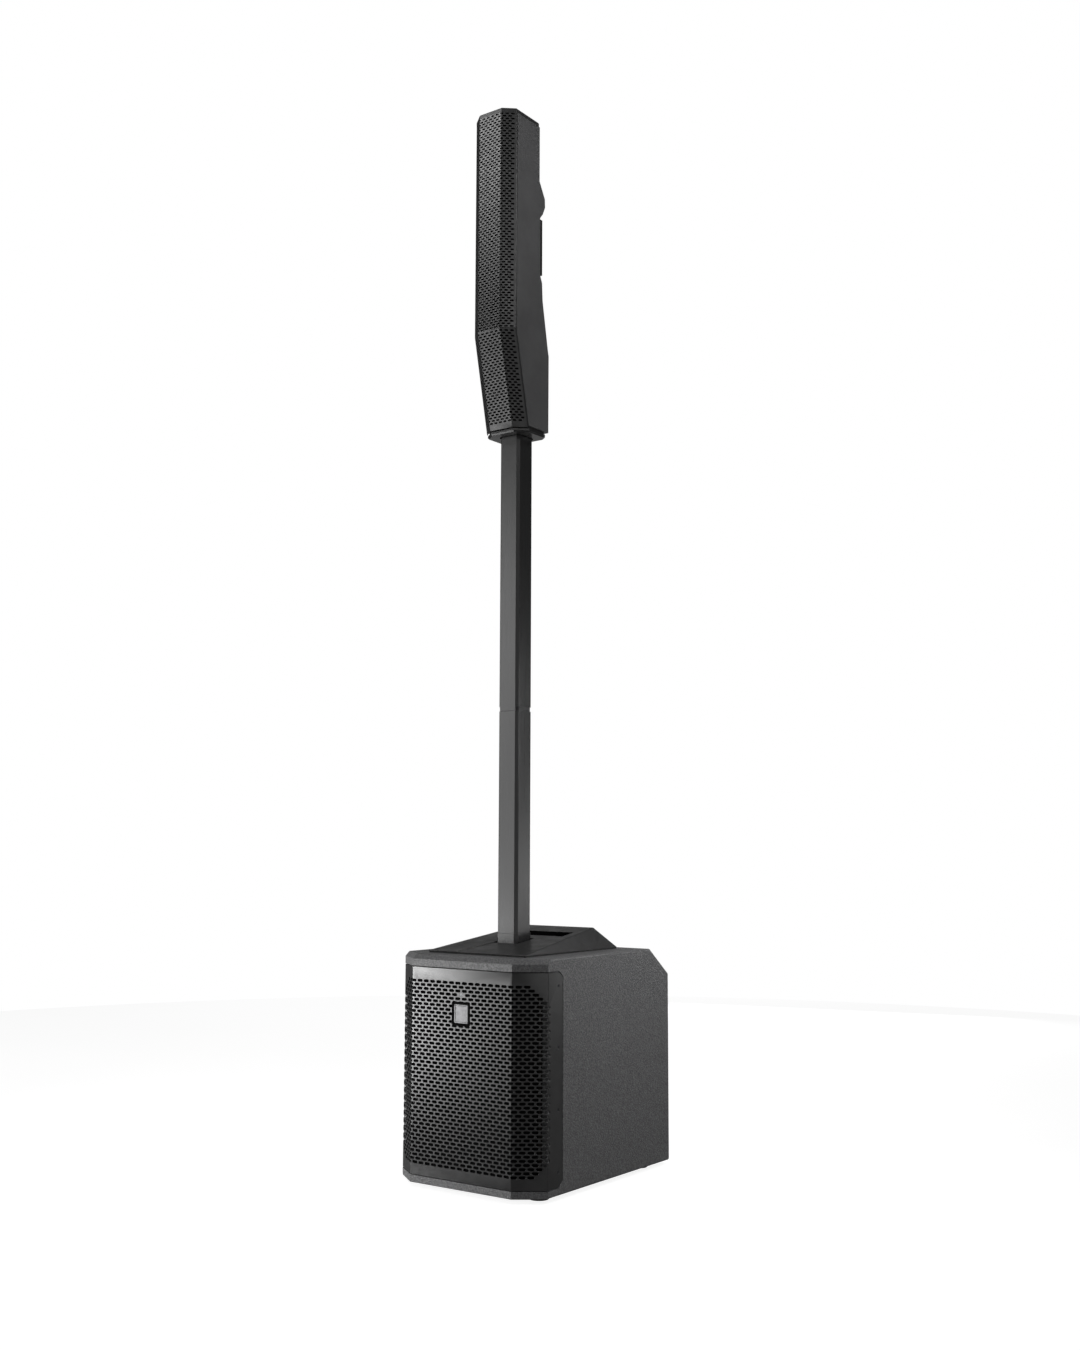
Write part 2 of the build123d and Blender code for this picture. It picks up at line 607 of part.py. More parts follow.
def array_rear_handle():
    """Smooth grip frame over the rear recess: a bar between two finger openings, with a rail along each side."""
    low, high = GRIP_LOW + 2, GRIP_HIGH - 2
    frame = block(-GRIP_RAIL, GRIP_RAIL, GRIP_SEAT, GRIP_BACK, low, high)
    rear_edges = [e for e in frame.edges().filter_by(Axis.Z) if e.center().Y > GRIP_BACK - 1]
    frame = fillet(rear_edges, 1.5)
    for side in (-1, 1):
        opening = block(side * 28 - 11, side * 28 + 11, GRIP_SEAT - 1, GRIP_BACK + 1, low + 12, high - 12)
        frame -= fillet(opening.edges().filter_by(Axis.Y), 6.0)
    bar = block(-17, 17, GRIP_SEAT - 10, GRIP_BACK - 2, low, high)
    return frame + fillet([e for e in bar.edges().filter_by(Axis.Z) if e.center().Y < GRIP_SEAT], 4.0)


def array_cap(z0, z1, front_shift, rear, corner):
    """Plate with the array's front outline and rounded rear corners."""
    outline = facets(ARRAY_HALF, ARRAY_FACE_HALF, ARRAY_FOLD, ARRAY_FRONT + front_shift)
    cap = prism_z(outline + [(-ARRAY_HALF, rear), (ARRAY_HALF, rear)], z0, z1)
    corners = [e for e in cap.edges().filter_by(Axis.Z) if e.center().Y > rear - 1]
    return fillet(corners, corner)


def array_top_cap():
    cap = array_cap(ARRAY_TOP - ARRAY_CAP, ARRAY_TOP, 0.0, 163.0, 6.0)
    rim = [e for e in cap.edges() if e.center().Z > ARRAY_TOP - 0.1]
    return cut_plane(chamfer(rim, 2.2), (0, 163.0 - TOP_CAP_SLOPE, ARRAY_TOP), (0, 1, 1))


def array_bottom_cap():
    """Plate with a bevelled rim, and a narrower neck above it that leaves a shadow gap."""
    shift = slant_y(ARRAY_GRILLE_LOW) + SHADOW_GAP
    plate = array_cap(ARRAY_LOW, ARRAY_LOW + CAP_PLATE, shift, 195.0, 18.0)
    rim = [e for e in plate.edges() if e.center().Z < ARRAY_LOW + 0.1]
    plate = chamfer(rim, 2.5)
    neck_rear = ARRAY_FRONT + shift + ARRAY_FOLD + GRILLE_GAP
    neck = block(-ARRAY_HALF + SHADOW_GAP, ARRAY_HALF - SHADOW_GAP, neck_rear, 195.0 - SHADOW_GAP,
                 ARRAY_LOW + CAP_PLATE, ARRAY_LOW + BOTTOM_CAP)
    neck = fillet([e for e in neck.edges().filter_by(Axis.Z) if e.center().Y > 180], 12.0)
    return plate + neck - prism_z(pole_outline(2.8), ARRAY_LOW - 1, ARRAY_LOW + BOTTOM_CAP + 1)


def array_baffle():
    low, high = ARRAY_SOCKET_TOP - 13, ARRAY_TOP - ARRAY_CAP - 1
    inside = ARRAY_HALF - ARRAY_WALL - 0.2
    front = front_line(ARRAY_BAFFLE, low, high)
    back = front_line(ARRAY_BAFFLE + 5.0, low, high)
    board = prism_x(front + back[::-1], -inside, inside)
    for place in upper_places() + lower_places():
        board -= place * rod_y(TWEETER["hole"], 0, 0, -3, 12)
        for x, z in ring_places(TWEETER["flange"] - 3.2, TWEETER["screws"]):
            board -= place * rod_y(TWEETER["screw"], x, z, -0.5, 9)
    return board


def upper_places():
    top = ARRAY_TOP - ARRAY_CAP - 37.0
    return [Pos(0, ARRAY_FRONT + ARRAY_BAFFLE, top - k * ARRAY_PITCH) for k in range(6)]


def lower_places():
    first = ARRAY_BEND_Z - 39.0
    heights = [first, first - LOWER_PITCH]
    return [Pos(0, ARRAY_FRONT + ARRAY_BAFFLE + slant_y(z), z) * Rot(X=TILT) for z in heights]


def array_grille(z0, z1, thick=1.2, inset=0.0):
    """One folded grille panel; below the bend it leans back."""
    rear = ARRAY_FRONT + ARRAY_FOLD + 2.2
    outline = folded_sheet(ARRAY_HALF, ARRAY_FACE_HALF, ARRAY_FOLD, ARRAY_FRONT, rear, thick, inset)
    base = slant_y(z0)
    face = make_face(Polyline(*[(x, y + base, z0) for x, y in outline], close=True))
    rise = z1 - z0
    lean = slant_y(z1) - base
    return extrude(face, hypot(rise, lean), dir=(0, lean, rise))


def array_foam(z0, z1):
    """Foam behind a grille panel: the front facets only."""
    front = facets(ARRAY_HALF, ARRAY_FACE_HALF, ARRAY_FOLD, ARRAY_FRONT, 1.4)
    back = facets(ARRAY_HALF, ARRAY_FACE_HALF, ARRAY_FOLD, ARRAY_FRONT, 4.4)
    base = slant_y(z0)
    face = make_face(Polyline(*[(x, y + base, z0) for x, y in front + back[::-1]], close=True))
    lean = slant_y(z1) - base
    return extrude(face, hypot(z1 - z0, lean), dir=(0, lean, z1 - z0))


def array_socket():
    """Socket insert in the array's bottom that takes the upper pole's top spigot."""
    low, high = ARRAY_LOW + BOTTOM_CAP + 4, ARRAY_SOCKET_TOP
    x, y = POLE_HALF + 6, (POLE_REAR - POLE_FRONT) / 2 + 2
    body = block(-x, x, POLE_MID - y, POLE_MID + y, low, high)
    hole_x, hole_y = SPIGOT[0] + SPIGOT_CLEAR, SPIGOT[1] + SPIGOT_CLEAR
    body -= block(-hole_x, hole_x, POLE_MID - hole_y, POLE_MID + hole_y, low - 1, high - 4)
    return body


# ---------------------------------------------------------------- rear panel
def amp_panel():
    """Dished panel: a flange on the back of the cabinet and a floor that the controls sit on."""
    floor = SUB_DEPTH - PANEL_RECESS
    inner = PANEL_HALF - PANEL_FLANGE
    z0, z1 = PANEL_LOW + PANEL_FLANGE, PANEL_HIGH - PANEL_FLANGE
    plate = block(-PANEL_HALF, PANEL_HALF, SUB_DEPTH - 3, SUB_DEPTH - 0.5, PANEL_LOW, PANEL_HIGH)
    plate += block(-inner, inner, floor - 2, SUB_DEPTH - 1, z0, z1)
    plate -= block(-inner + 2, inner - 2, floor, SUB_DEPTH + 5, z0 + 2, z1 - 2)
    for x, z in panel_screw_places():
        plate -= rod_y(2.1, x, z, SUB_DEPTH - 5, SUB_DEPTH + 1)
    for x, z in SOCKET_PLACES:
        plate -= rod_y(12.2, x, z, floor - 5, floor + 5)
    for x, z, radius in KNOB_PLACES:
        plate -= rod_y(4.0, x, z, floor - 5, floor + 5)
    x, z = INLET_PLACE
    plate -= block(x - 14.2, x + 14.2, floor - 5, floor + 5, z - 10.2, z + 10.2)
    x, z = ROCKER_PLACE
    plate -= block(x - 10.7, x + 10.7, floor - 5, floor + 5, z - 14.2, z + 14.2)
    return plate


def panel_screw_places():
    x = PANEL_HALF - 6
    z0, z1 = PANEL_LOW + 6, PANEL_HIGH - 6
    middle = (z0 + z1) / 2
    return [(sx * x, z) for sx in (-1, 1) for z in (z0, middle, z1)] + [(0, z0), (0, z1)]


SOCKET_PLACES = ((-78.0, 312.0), (-36.0, 312.0), (-78.0, 214.0), (-36.0, 214.0))
KNOB_PLACES = ((-78.0, 266.0, 8.5), (-36.0, 266.0, 8.5), (52.0, 252.0, 12.0))
INLET_PLACE = (62.0, 146.0)
ROCKER_PLACE = (10.0, 146.0)
DISPLAY_PLACE = (52.0, 304.0)
FLOOR_Y = SUB_DEPTH - PANEL_RECESS


def round_socket(x, z):
    """Round audio connector: flange, barrel and an open bore with a centre contact block."""
    shell = block(x - 15, x + 15, FLOOR_Y, FLOOR_Y + 2.4, z - 16, z + 16)
    shell = fillet(shell.edges().filter_by(Axis.Y), 4.0)
    shell += rod_y(12.0, x, z, FLOOR_Y - 24, FLOOR_Y + 3.4)
    shell -= rod_y(9.5, x, z, FLOOR_Y - 16, FLOOR_Y + 9)
    for dx, dz in ((-3.4, 0), (3.4, 0), (0, -3.6)):
        shell += rod_y(1.0, x + dx, z + dz, FLOOR_Y - 17, FLOOR_Y - 5)
    return shell


def fluted(knob, x, z, radius, base, count):
    for k in range(count):
        angle = 2 * pi * k / count
        dx, dz = (radius + 0.3) * cos(angle), (radius + 0.3) * sin(angle)
        knob -= rod_y(0.9, x + dx, z + dz, base + 2, base + 20)
    return knob


def control_knob(x, z, radius):
    """Fluted knob on a short shaft; the shaft passes through the panel."""
    base = FLOOR_Y + 1.0
    knob = rod_y(radius, x, z, base, base + 15)
    knob = chamfer([e for e in knob.edges() if e.center().Y > base + 14], 1.2)
    knob = fluted(knob, x, z, radius, base, 18)
    knob -= block(x - 0.6, x + 0.6, base + 14.2, base + 20, z + 1.5, z + radius + 2)
    return knob + rod_y(3.0, x, z, FLOOR_Y - 12, base + 1)


def encoder_stem(x, z):
    return rod_y(3.0, x, z, FLOOR_Y - 14, FLOOR_Y + 10) + rod_y(3.7, x, z, FLOOR_Y - 14, FLOOR_Y - 9)


def encoder_knob(x, z, radius):
    base = FLOOR_Y + 1.2
    knob = rod_y(radius, x, z, base, base + 15)
    knob = chamfer([e for e in knob.edges() if e.center().Y > base + 14], 1.5)
    knob = fluted(knob, x, z, radius, base, 24)
    return knob - rod_y(3.08, x, z, base - 1, FLOOR_Y + 10.1)


def mains_inlet():
    x, z = INLET_PLACE
    body = block(x - 25, x + 25, FLOOR_Y, FLOOR_Y + 2.2, z - 14, z + 14)
    body = fillet(body.edges().filter_by(Axis.Y), 3.0)
    body += block(x - 14, x + 14, FLOOR_Y - 22, FLOOR_Y + 3, z - 10, z + 10)
    body -= block(x - 12, x + 12, FLOOR_Y - 17, FLOOR_Y + 9, z - 8, z + 8)
    for dx, dz in ((-7, -1.5), (0, 2.0), (7, -1.5)):
        body += block(x + dx - 1, x + dx + 1, FLOOR_Y - 18, FLOOR_Y - 3, z + dz - 2, z + dz + 2)
    return body


def rocker_bezel():
    x, z = ROCKER_PLACE
    body = block(x - 13, x + 13, FLOOR_Y, FLOOR_Y + 2.2, z - 17, z + 17)
    body = fillet(body.edges().filter_by(Axis.Y), 2.5)
    body += block(x - 10.5, x + 10.5, FLOOR_Y - 14, FLOOR_Y + 1, z - 14, z + 14)
    return body - block(x - 9, x + 9, FLOOR_Y - 11, FLOOR_Y + 9, z - 12.5, z + 12.5)


def power_rocker():
    """Rocker that lies tipped by half its swing at rest."""
    x, z = ROCKER_PLACE
    pivot_y = FLOOR_Y - 4
    points = [(-3.5, -11), (5.2, -11), (3.2, 0), (5.2, 11), (-3.5, 11)]
    body = prism_x([(y, v) for y, v in points], -8.6, 8.6)
    return Pos(x, pivot_y, z) * Rot(X=ROCKER_SWING / 2) * body


ROCKER_SWING = 14.0


def display_window():
    x, z = DISPLAY_PLACE
    pane = block(x - 30, x + 30, FLOOR_Y, FLOOR_Y + 1.6, z - 16, z + 16)
    return fillet(pane.edges().filter_by(Axis.Y), 2.5)


def heatsink():
    base = block(-100, -8, FLOOR_Y - 34, FLOOR_Y - 30, 120, 195)
    for k in range(9):
        x = -98 + 11 * k
        base += block(x, x + 2.2, FLOOR_Y - 60, FLOOR_Y - 33, 120, 195)
    return base


# ---------------------------------------------------------------- small repeated pieces
def foot_places():
    return [(sx * 127.0, y) for sx in (-1, 1) for y in (65.0, 390.0)]


def rubber_feet():
    feet = []
    for x, y in foot_places():
        foot = rod_z(19.5, x, y, 0, FOOT_HEIGHT)
        foot = chamfer([e for e in foot.edges() if e.center().Z < 0.1], 2.0)
        foot -= rod_z(5.0, x, y, -1, 6)
        feet.append(foot - rod_z(2.3, x, y, 5, FOOT_HEIGHT + 1))
    return feet


def foot_screws():
    return [rod_z(4.4, x, y, 3, 6) + rod_z(2.0, x, y, 5, FOOT_HEIGHT + 11) for x, y in foot_places()]


def grille_screws():
    pieces = []
    for side in (-1, 1):
        for z in SCREW_ROWS:
            head = rod_x(3.1, SCREW_Y, z, side * (HALF - SHEET), side * (HALF - 0.3))
            shank = rod_x(1.5, SCREW_Y, z, side * (HALF - 12), side * (HALF - SHEET))
            drive = rod_x(1.2, SCREW_Y, z, side * (HALF - 1.0), side * (HALF + 1))
            pieces.append(head + shank - drive)
    return pieces


def panel_screws():
    pieces = []
    for x, z in panel_screw_places():
        head = rod_y(3.6, x, z, SUB_DEPTH - 0.5, SUB_DEPTH)
        pieces.append(head + rod_y(1.5, x, z, SUB_DEPTH - 13, SUB_DEPTH - 0.5))
    return pieces


# ---------------------------------------------------------------- export
os.makedirs("parts", exist_ok=True)

save("sub_cabinet", sub_cabinet())
save("front_baffle", front_baffle())
save("cabinet_brace", cabinet_brace())
save("port_tubes", port_tubes())
save("sub_grille", sub_grille())
save("sub_grille_foam", sub_grille_foam())
save("grille_screws", grille_screws())
half_badge = BADGE / 2
save("badge_plate", block(-half_badge, half_badge, 0, SHEET, BADGE_Z - half_badge, BADGE_Z + half_badge))
save("badge_backing", block(-half_badge - 4, half_badge + 4, SHEET, SHEET + 2.5,
                            BADGE_Z - half_badge - 4, BADGE_Z + half_badge + 4))
save("status_led", rod_y(2.5, 0, LED_Z, 0.2, 9) + rod_y(4.0, 0, LED_Z, SHEET + 0.3, SHEET + 2.5))

save("woofer_frame", woofer_place() * driver_frame(WOOFER))
save("woofer_magnet", woofer_place() * driver_motor(WOOFER))
save("woofer_surround", woofer_place() * driver_surround(WOOFER))
save("woofer_spider", woofer_place() * spider())
save("woofer_cone", woofer_place() * driver_cone(WOOFER))
save("woofer_screws", [woofer_place() * s for s in driver_screws(WOOFER, 8)])

save("top_housing", top_housing())
save("top_housing_gasket", housing_gasket())
save("pole_socket", pole_socket())
save("socket_contacts", contact_socket(SOCKET_BOTTOM + 4, SOCKET_BOTTOM + 16))

save("amp_panel", amp_panel())
save("amp_heatsink", heatsink())
save("amp_circuit_board", block(-104, 104, FLOOR_Y - 30, FLOOR_Y - 28, 112, 344))
save("power_supply", block(8, 96, FLOOR_Y - 72, FLOOR_Y - 31, 118, 206))
save("panel_screws", panel_screws())
save("display_window", display_window())
save("mains_inlet", mains_inlet())
save("power_switch_bezel", rocker_bezel())
save("power_rocker", power_rocker())
save("audio_sockets", [round_socket(x, z) for x, z in SOCKET_PLACES])
for number, (kx, kz, kr) in enumerate(KNOB_PLACES[:2], 1):
    save(f"input_level_knob_{number}", control_knob(kx, kz, kr))
ex, ez, er = KNOB_PLACES[2]
save("encoder_stem", encoder_stem(ex, ez))
save("encoder_knob", encoder_knob(ex, ez, er))
save("rubber_feet", rubber_feet())
save("foot_screws", foot_screws())

save("lower_pole_tube", tube(POLE_BOTTOM, JOINT_LOW))
save("lower_pole_collar", lower_pole_collar())
save("lower_pole_spigot", plug(POLE_BOTTOM, POLE_BOTTOM + 45, SOCKET_BOTTOM + 20, POLE_BOTTOM))
save("lower_pole_pins", contact_pins(SOCKET_BOTTOM + 8, SOCKET_BOTTOM + 20))
save("pole_joint_socket", joint_socket())
save("pole_joint_ring", joint_ring())
save("upper_pole_tube", upper_pole_tube())
save("upper_pole_spigot", upper_pole_spigot())
save("upper_pole_top_spigot", plug(POLE_TOP - 45, POLE_TOP, POLE_TOP, 1450.0))

save("array_housing", array_housing())
save("array_top_cap", array_top_cap())
save("array_bottom_cap", array_bottom_cap())
save("array_baffle", array_baffle())
save("array_grille_upper", array_grille(ARRAY_BEND_Z + 0.4, ARRAY_TOP - ARRAY_CAP))
save("array_grille_lower", array_grille(ARRAY_GRILLE_LOW, ARRAY_BEND_Z - 0.4))
save("array_grille_foam", [array_foam(ARRAY_BEND_Z + 1, ARRAY_TOP - ARRAY_CAP - 1),
                           array_foam(ARRAY_GRILLE_LOW + 6, ARRAY_BEND_Z - 1)])
save("array_rear_handle", array_rear_handle())
save("array_socket", array_socket())
places = upper_places() + lower_places()
save("array_driver_frames", [p * driver_frame(TWEETER) for p in places])
save("array_driver_magnets", [p * driver_motor(TWEETER) for p in places])
save("array_driver_surrounds", [p * driver_surround(TWEETER) for p in places])
save("array_driver_screws", [p * s for p in places for s in driver_screws(TWEETER, 3.2)])
save("array_cones_upper", [p * driver_cone(TWEETER) for p in upper_places()])
save("array_cones_lower", [p * driver_cone(TWEETER) for p in lower_places()])
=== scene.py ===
"""Looks of the column pa system: perforated grilles, materials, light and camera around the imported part."""
import json
import math

import bmesh
import bpy
from mathutils import Euler, Matrix, Vector, geometry, kdtree


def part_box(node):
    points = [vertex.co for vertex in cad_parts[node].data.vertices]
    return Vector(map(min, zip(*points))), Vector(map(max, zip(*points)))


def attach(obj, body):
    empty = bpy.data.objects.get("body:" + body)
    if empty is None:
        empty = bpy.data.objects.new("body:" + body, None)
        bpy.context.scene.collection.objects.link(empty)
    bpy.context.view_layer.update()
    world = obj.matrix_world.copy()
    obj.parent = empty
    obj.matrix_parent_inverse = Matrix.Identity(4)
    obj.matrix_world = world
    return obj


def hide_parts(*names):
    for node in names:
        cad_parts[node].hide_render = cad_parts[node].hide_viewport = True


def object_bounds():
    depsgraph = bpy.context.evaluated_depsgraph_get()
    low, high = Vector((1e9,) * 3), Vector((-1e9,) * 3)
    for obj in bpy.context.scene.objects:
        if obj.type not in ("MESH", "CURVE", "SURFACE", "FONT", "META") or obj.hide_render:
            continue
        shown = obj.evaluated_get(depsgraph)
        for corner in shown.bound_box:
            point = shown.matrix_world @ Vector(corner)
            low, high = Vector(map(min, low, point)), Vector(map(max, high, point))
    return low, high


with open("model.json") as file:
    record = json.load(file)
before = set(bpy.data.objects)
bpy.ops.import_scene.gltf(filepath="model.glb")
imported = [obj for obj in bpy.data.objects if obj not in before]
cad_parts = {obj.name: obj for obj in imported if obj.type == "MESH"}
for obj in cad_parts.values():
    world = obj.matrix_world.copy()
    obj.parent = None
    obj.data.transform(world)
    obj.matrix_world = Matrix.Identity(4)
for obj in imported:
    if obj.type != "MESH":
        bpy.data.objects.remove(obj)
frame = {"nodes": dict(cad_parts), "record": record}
cad_low, cad_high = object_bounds()
NODES = frame["nodes"]
MM = 0.001

# ---------------------------------------------------------------- the part's dimensions, millimetres
FRONT_Y = cad_low.y / MM

# subwoofer grille: half widths in plan, depth of its folded corner, and its flange along the sides
SUB_HALF = 165.5
SUB_FACET = 114.5
SUB_FOLD = 37.7
SUB_BEND_RADIUS = 2.0
SUB_SHEET = 1.0
GRILLE_LOW, GRILLE_HIGH = 22.8, 392.9
FLANGE_REAR = 82.0
FLANGE_CORNER = (12.2, 9.5)
SCREW_Y = 68.8
SCREW_ROWS = (49.2, 155.3, 262.3, 368.8)
SCREW_HOLE = 3.25
LED_Z = 347.9
LED_HOLE = 2.75

# its slots: length and height, spacing along a row and between rows, and how far out the rows reach
SUB_SLOT = (12.2, 5.1)
SUB_PITCH, SUB_ROW, SUB_ROWS, SUB_TOP_ROW = 14.88, 6.885, 48, 368.5
SUB_ROW_REACH = 179.0
SUB_CORNER_REACH = (141.5, 149.0, 156.5, 164.0, 171.5)

# blank badge: the plate's opening in the grille, and its margins inside the plain CAD plate
BADGE_Z = 314.5
BADGE_HALF = 19.0
BADGE_OPENING = (0.0, BADGE_Z, BADGE_HALF + 2.0, BADGE_HALF + 2.2, 3.5)
BADGE_MARGIN_U, BADGE_MARGIN_V = 3.0, 2.0
BADGE_CORNER, BADGE_LEAST_CORNER = 2.6, 0.4

# array grilles
ARRAY_HALF = 50.1
ARRAY_FACET = 27.0
ARRAY_FOLD = 19.5
ARRAY_BEND_RADIUS = 1.6
ARRAY_RETURN = 2.2
ARRAY_FRONT = 66.3
ARRAY_SHEET = 0.9
ARRAY_EDGE = 0.16
ARRAY_BEND = 1601.0
ARRAY_TOP = 2036.0
ARRAY_LOW = 1415.0
ARRAY_SLOT = (7.6, 3.2)
ARRAY_PITCH, ARRAY_ROW = 11.0, 5.1
ARRAY_SIDE_LAND = 3.6
# how far the outermost rows stay from each grille's end and from the bend, and the seam at the bend
ARRAY_TOP_LAND, ARRAY_BOTTOM_LAND = 2.1, 10.2
ARRAY_ABOVE_BEND, ARRAY_BELOW_BEND = 3.4, 4.6
ARRAY_SEAM_ABOVE, ARRAY_SEAM_BELOW = 0.4, 0.1
# the lower grille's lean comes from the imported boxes: how far back its bottom lies
set_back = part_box("array_grille_lower")[1].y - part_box("array_grille_upper")[1].y
ARRAY_SLANT = set_back / MM / (ARRAY_BEND - ARRAY_LOW)

# carrying slot in the deck
SLOT_HALF_X, SLOT_FRONT, SLOT_REAR, SLOT_LIP = 76.0, -14.5, 67.5, 449.0


# ---------------------------------------------------------------- material helpers
class Shader:
    """A Principled material that is built up node by node."""

    def __init__(self, name, color, rough, **sockets):
        self.material = bpy.data.materials.new(name)
        self.material.use_nodes = True
        self.tree = self.material.node_tree
        self.bsdf = self.tree.nodes["Principled BSDF"]
        self.bsdf.inputs["Base Color"].default_value = (*color, 1)
        self.bsdf.inputs["Roughness"].default_value = rough
        for key, value in sockets.items():
            self.bsdf.inputs[key.replace("_", " ")].default_value = value
        self.where = self.tree.nodes.new("ShaderNodeTexCoord").outputs["Object"]
        self.normal = None

    def soft_edges(self, radius_mm):
        """Slightly rounded look along sharp edges; it comes before any bump."""
        made = self.node("ShaderNodeBevel", samples=4)
        made.inputs["Radius"].default_value = radius_mm * MM
        self.normal = made.outputs["Normal"]
        self.link(self.normal, self.bsdf.inputs["Normal"])
        return self

    def node(self, kind, **settings):
        made = self.tree.nodes.new(kind)
        for key, value in settings.items():
            setattr(made, key, value)
        return made

    def link(self, a, b):
        self.tree.links.new(a, b)

    def noise(self, size_mm, detail=3.0, rough=0.55, stretch=None, distortion=0.0):
        """Noise whose features are about size_mm across."""
        tex = self.node("ShaderNodeTexNoise")
        tex.inputs["Scale"].default_value = 1 / (size_mm * MM)
        tex.inputs["Detail"].default_value = detail
        tex.inputs["Roughness"].default_value = rough
        tex.inputs["Distortion"].default_value = distortion
        where = self.where
        if stretch:
            mapping = self.node("ShaderNodeMapping")
            mapping.inputs["Scale"].default_value = stretch
            self.link(where, mapping.inputs["Vector"])
            where = mapping.outputs["Vector"]
        self.link(where, tex.inputs["Vector"])
        return tex.outputs["Fac"]

    def cells(self, size_mm, feature="F1"):
        tex = self.node("ShaderNodeTexVoronoi", feature=feature)
        tex.inputs["Scale"].default_value = 1 / (size_mm * MM)
        self.link(self.where, tex.inputs["Vector"])
        return tex.outputs["Distance"]

    def ramp(self, fac, low, high, a, b):
        """Map a value between low and high to a colour or grey between a and b."""
        ramp = self.node("ShaderNodeValToRGB")
        ends = ramp.color_ramp.elements
        ends[0].position, ends[1].position = low, high
        ends[0].color = (*a, 1) if isinstance(a, tuple) else (a, a, a, 1)
        ends[1].color = (*b, 1) if isinstance(b, tuple) else (b, b, b, 1)
        self.link(fac, ramp.inputs["Fac"])
        return ramp.outputs["Color"]

    def math(self, kind, a, b):
        made = self.node("ShaderNodeMath", operation=kind)
        for socket, value in zip(made.inputs, (a, b)):
            if isinstance(value, (int, float)):
                socket.default_value = value
            else:
                self.link(value, socket)
        return made.outputs[0]

    def mix(self, fac, a, b):
        made = self.node("ShaderNodeMix", data_type="RGBA", blend_type="MIX")
        for socket, value in ((made.inputs[0], fac), (made.inputs[6], a), (made.inputs[7], b)):
            if isinstance(value, (int, float)):
                socket.default_value = value
            elif isinstance(value, tuple):
                socket.default_value = (*value, 1)
            else:
                self.link(value, socket)
        return made.outputs[2]

    def color(self, output):
        self.link(output, self.bsdf.inputs["Base Color"])

    def rough(self, output):
        self.link(output, self.bsdf.inputs["Roughness"])

    def bump(self, height, depth_mm):
        made = self.node("ShaderNodeBump")
        made.inputs["Distance"].default_value = depth_mm * MM
        made.inputs["Strength"].default_value = 1.0
        self.link(height, made.inputs["Height"])
        if self.normal:
            self.link(self.normal, made.inputs["Normal"])
        self.normal = made.outputs["Normal"]
        self.link(self.normal, self.bsdf.inputs["Normal"])


def grey(value):
    return (value, value, value * 1.02)


def speckled_paint():
    """Hard textured paint: small round beads of lacquer over a dark coat."""
    s = Shader("speckled_paint", grey(0.08), 0.5, Specular_IOR_Level=0.45).soft_edges(2.0)
    beads = s.cells(2.8)
    fine = s.noise(1.0, 4)
    broad = s.noise(160, 2)
    tone = s.ramp(s.noise(2.6, 2, 0.6), 0.38, 0.62, grey(0.052), grey(0.118))
    s.color(s.mix(s.ramp(broad, 0.3, 0.7, 0.0, 0.2), tone, grey(0.08)))
    s.rough(s.ramp(fine, 0.3, 0.7, 0.46, 0.66))
    s.bump(s.ramp(beads, 0.0, 0.6, 1.0, 0.0), 0.40)
    s.bump(fine, 0.16)
    return s.material


def powder_coat(name="powder_coat", base=0.008, rough=0.32, edges=0.0):
    """Smooth baked coat on sheet steel, with a very fine orange-peel."""
    s = Shader(name, grey(base), rough, Specular_IOR_Level=0.6)
    if edges:
        s.soft_edges(edges)
    s.color(s.ramp(s.noise(90, 3), 0.3, 0.7, grey(base * 0.85), grey(base * 1.15)))
    s.rough(s.ramp(s.noise(14, 4), 0.3, 0.7, rough - 0.04, rough + 0.06))
    s.bump(s.noise(0.5, 3), 0.012)
    return s.material


def moulded(name="moulded_grain", base=0.016, rough=0.42, grain=0.8, depth=0.04, edges=1.2, shine=0.5):
    """Moulded plastic with a fine leather-like spark grain."""
    s = Shader(name, grey(base), rough, Specular_IOR_Level=shine).soft_edges(edges)
    s.color(s.ramp(s.noise(70, 4), 0.3, 0.7, grey(base * 0.88), grey(base * 1.14)))
    s.rough(s.ramp(s.noise(22, 5), 0.3, 0.7, rough - 0.05, rough + 0.07))
    s.bump(s.cells(grain, "SMOOTH_F1"), depth)
    s.bump(s.noise(grain * 0.45, 3), depth * 0.5)
    return s.material


def satin_lacquer():
    """Pole finish: smooth satin coat over drawn aluminium, with faint lengthways lines."""
    s = Shader("satin_lacquer", grey(0.010), 0.30, Specular_IOR_Level=0.5).soft_edges(1.0)
    s.color(s.ramp(s.noise(120, 3), 0.3, 0.7, grey(0.009), grey(0.012)))
    lines = s.noise(0.8, 3, stretch=(1, 1, 0.01))
    s.rough(s.ramp(lines, 0.3, 0.7, 0.27, 0.34))
    s.bump(lines, 0.004)
    s.bump(s.noise(0.35, 2), 0.012)
    return s.material


def open_foam():
    """Matte black open-cell foam."""
    s = Shader("open_foam", grey(0.003), 1.0, Specular_IOR_Level=0.05)
    pores = s.cells(1.1)
    s.color(s.ramp(pores, 0.05, 0.6, grey(0.005), grey(0.001)))
    s.bump(pores, 0.5)
    return s.material


def soft_rubber():
    """Matte rubber with a little dust."""
    base, rough = 0.012, 0.62
    s = Shader("rubber", grey(base), rough, Specular_IOR_Level=0.4)
    dust = s.noise(18, 6, 0.65)
    s.color(s.ramp(dust, 0.35, 0.75, grey(base * 0.8), grey(base * 1.7)))
    s.rough(s.ramp(s.noise(5, 3), 0.3, 0.7, rough - 0.08, rough + 0.1))
    s.bump(s.noise(0.6, 3), 0.05)
    return s.material


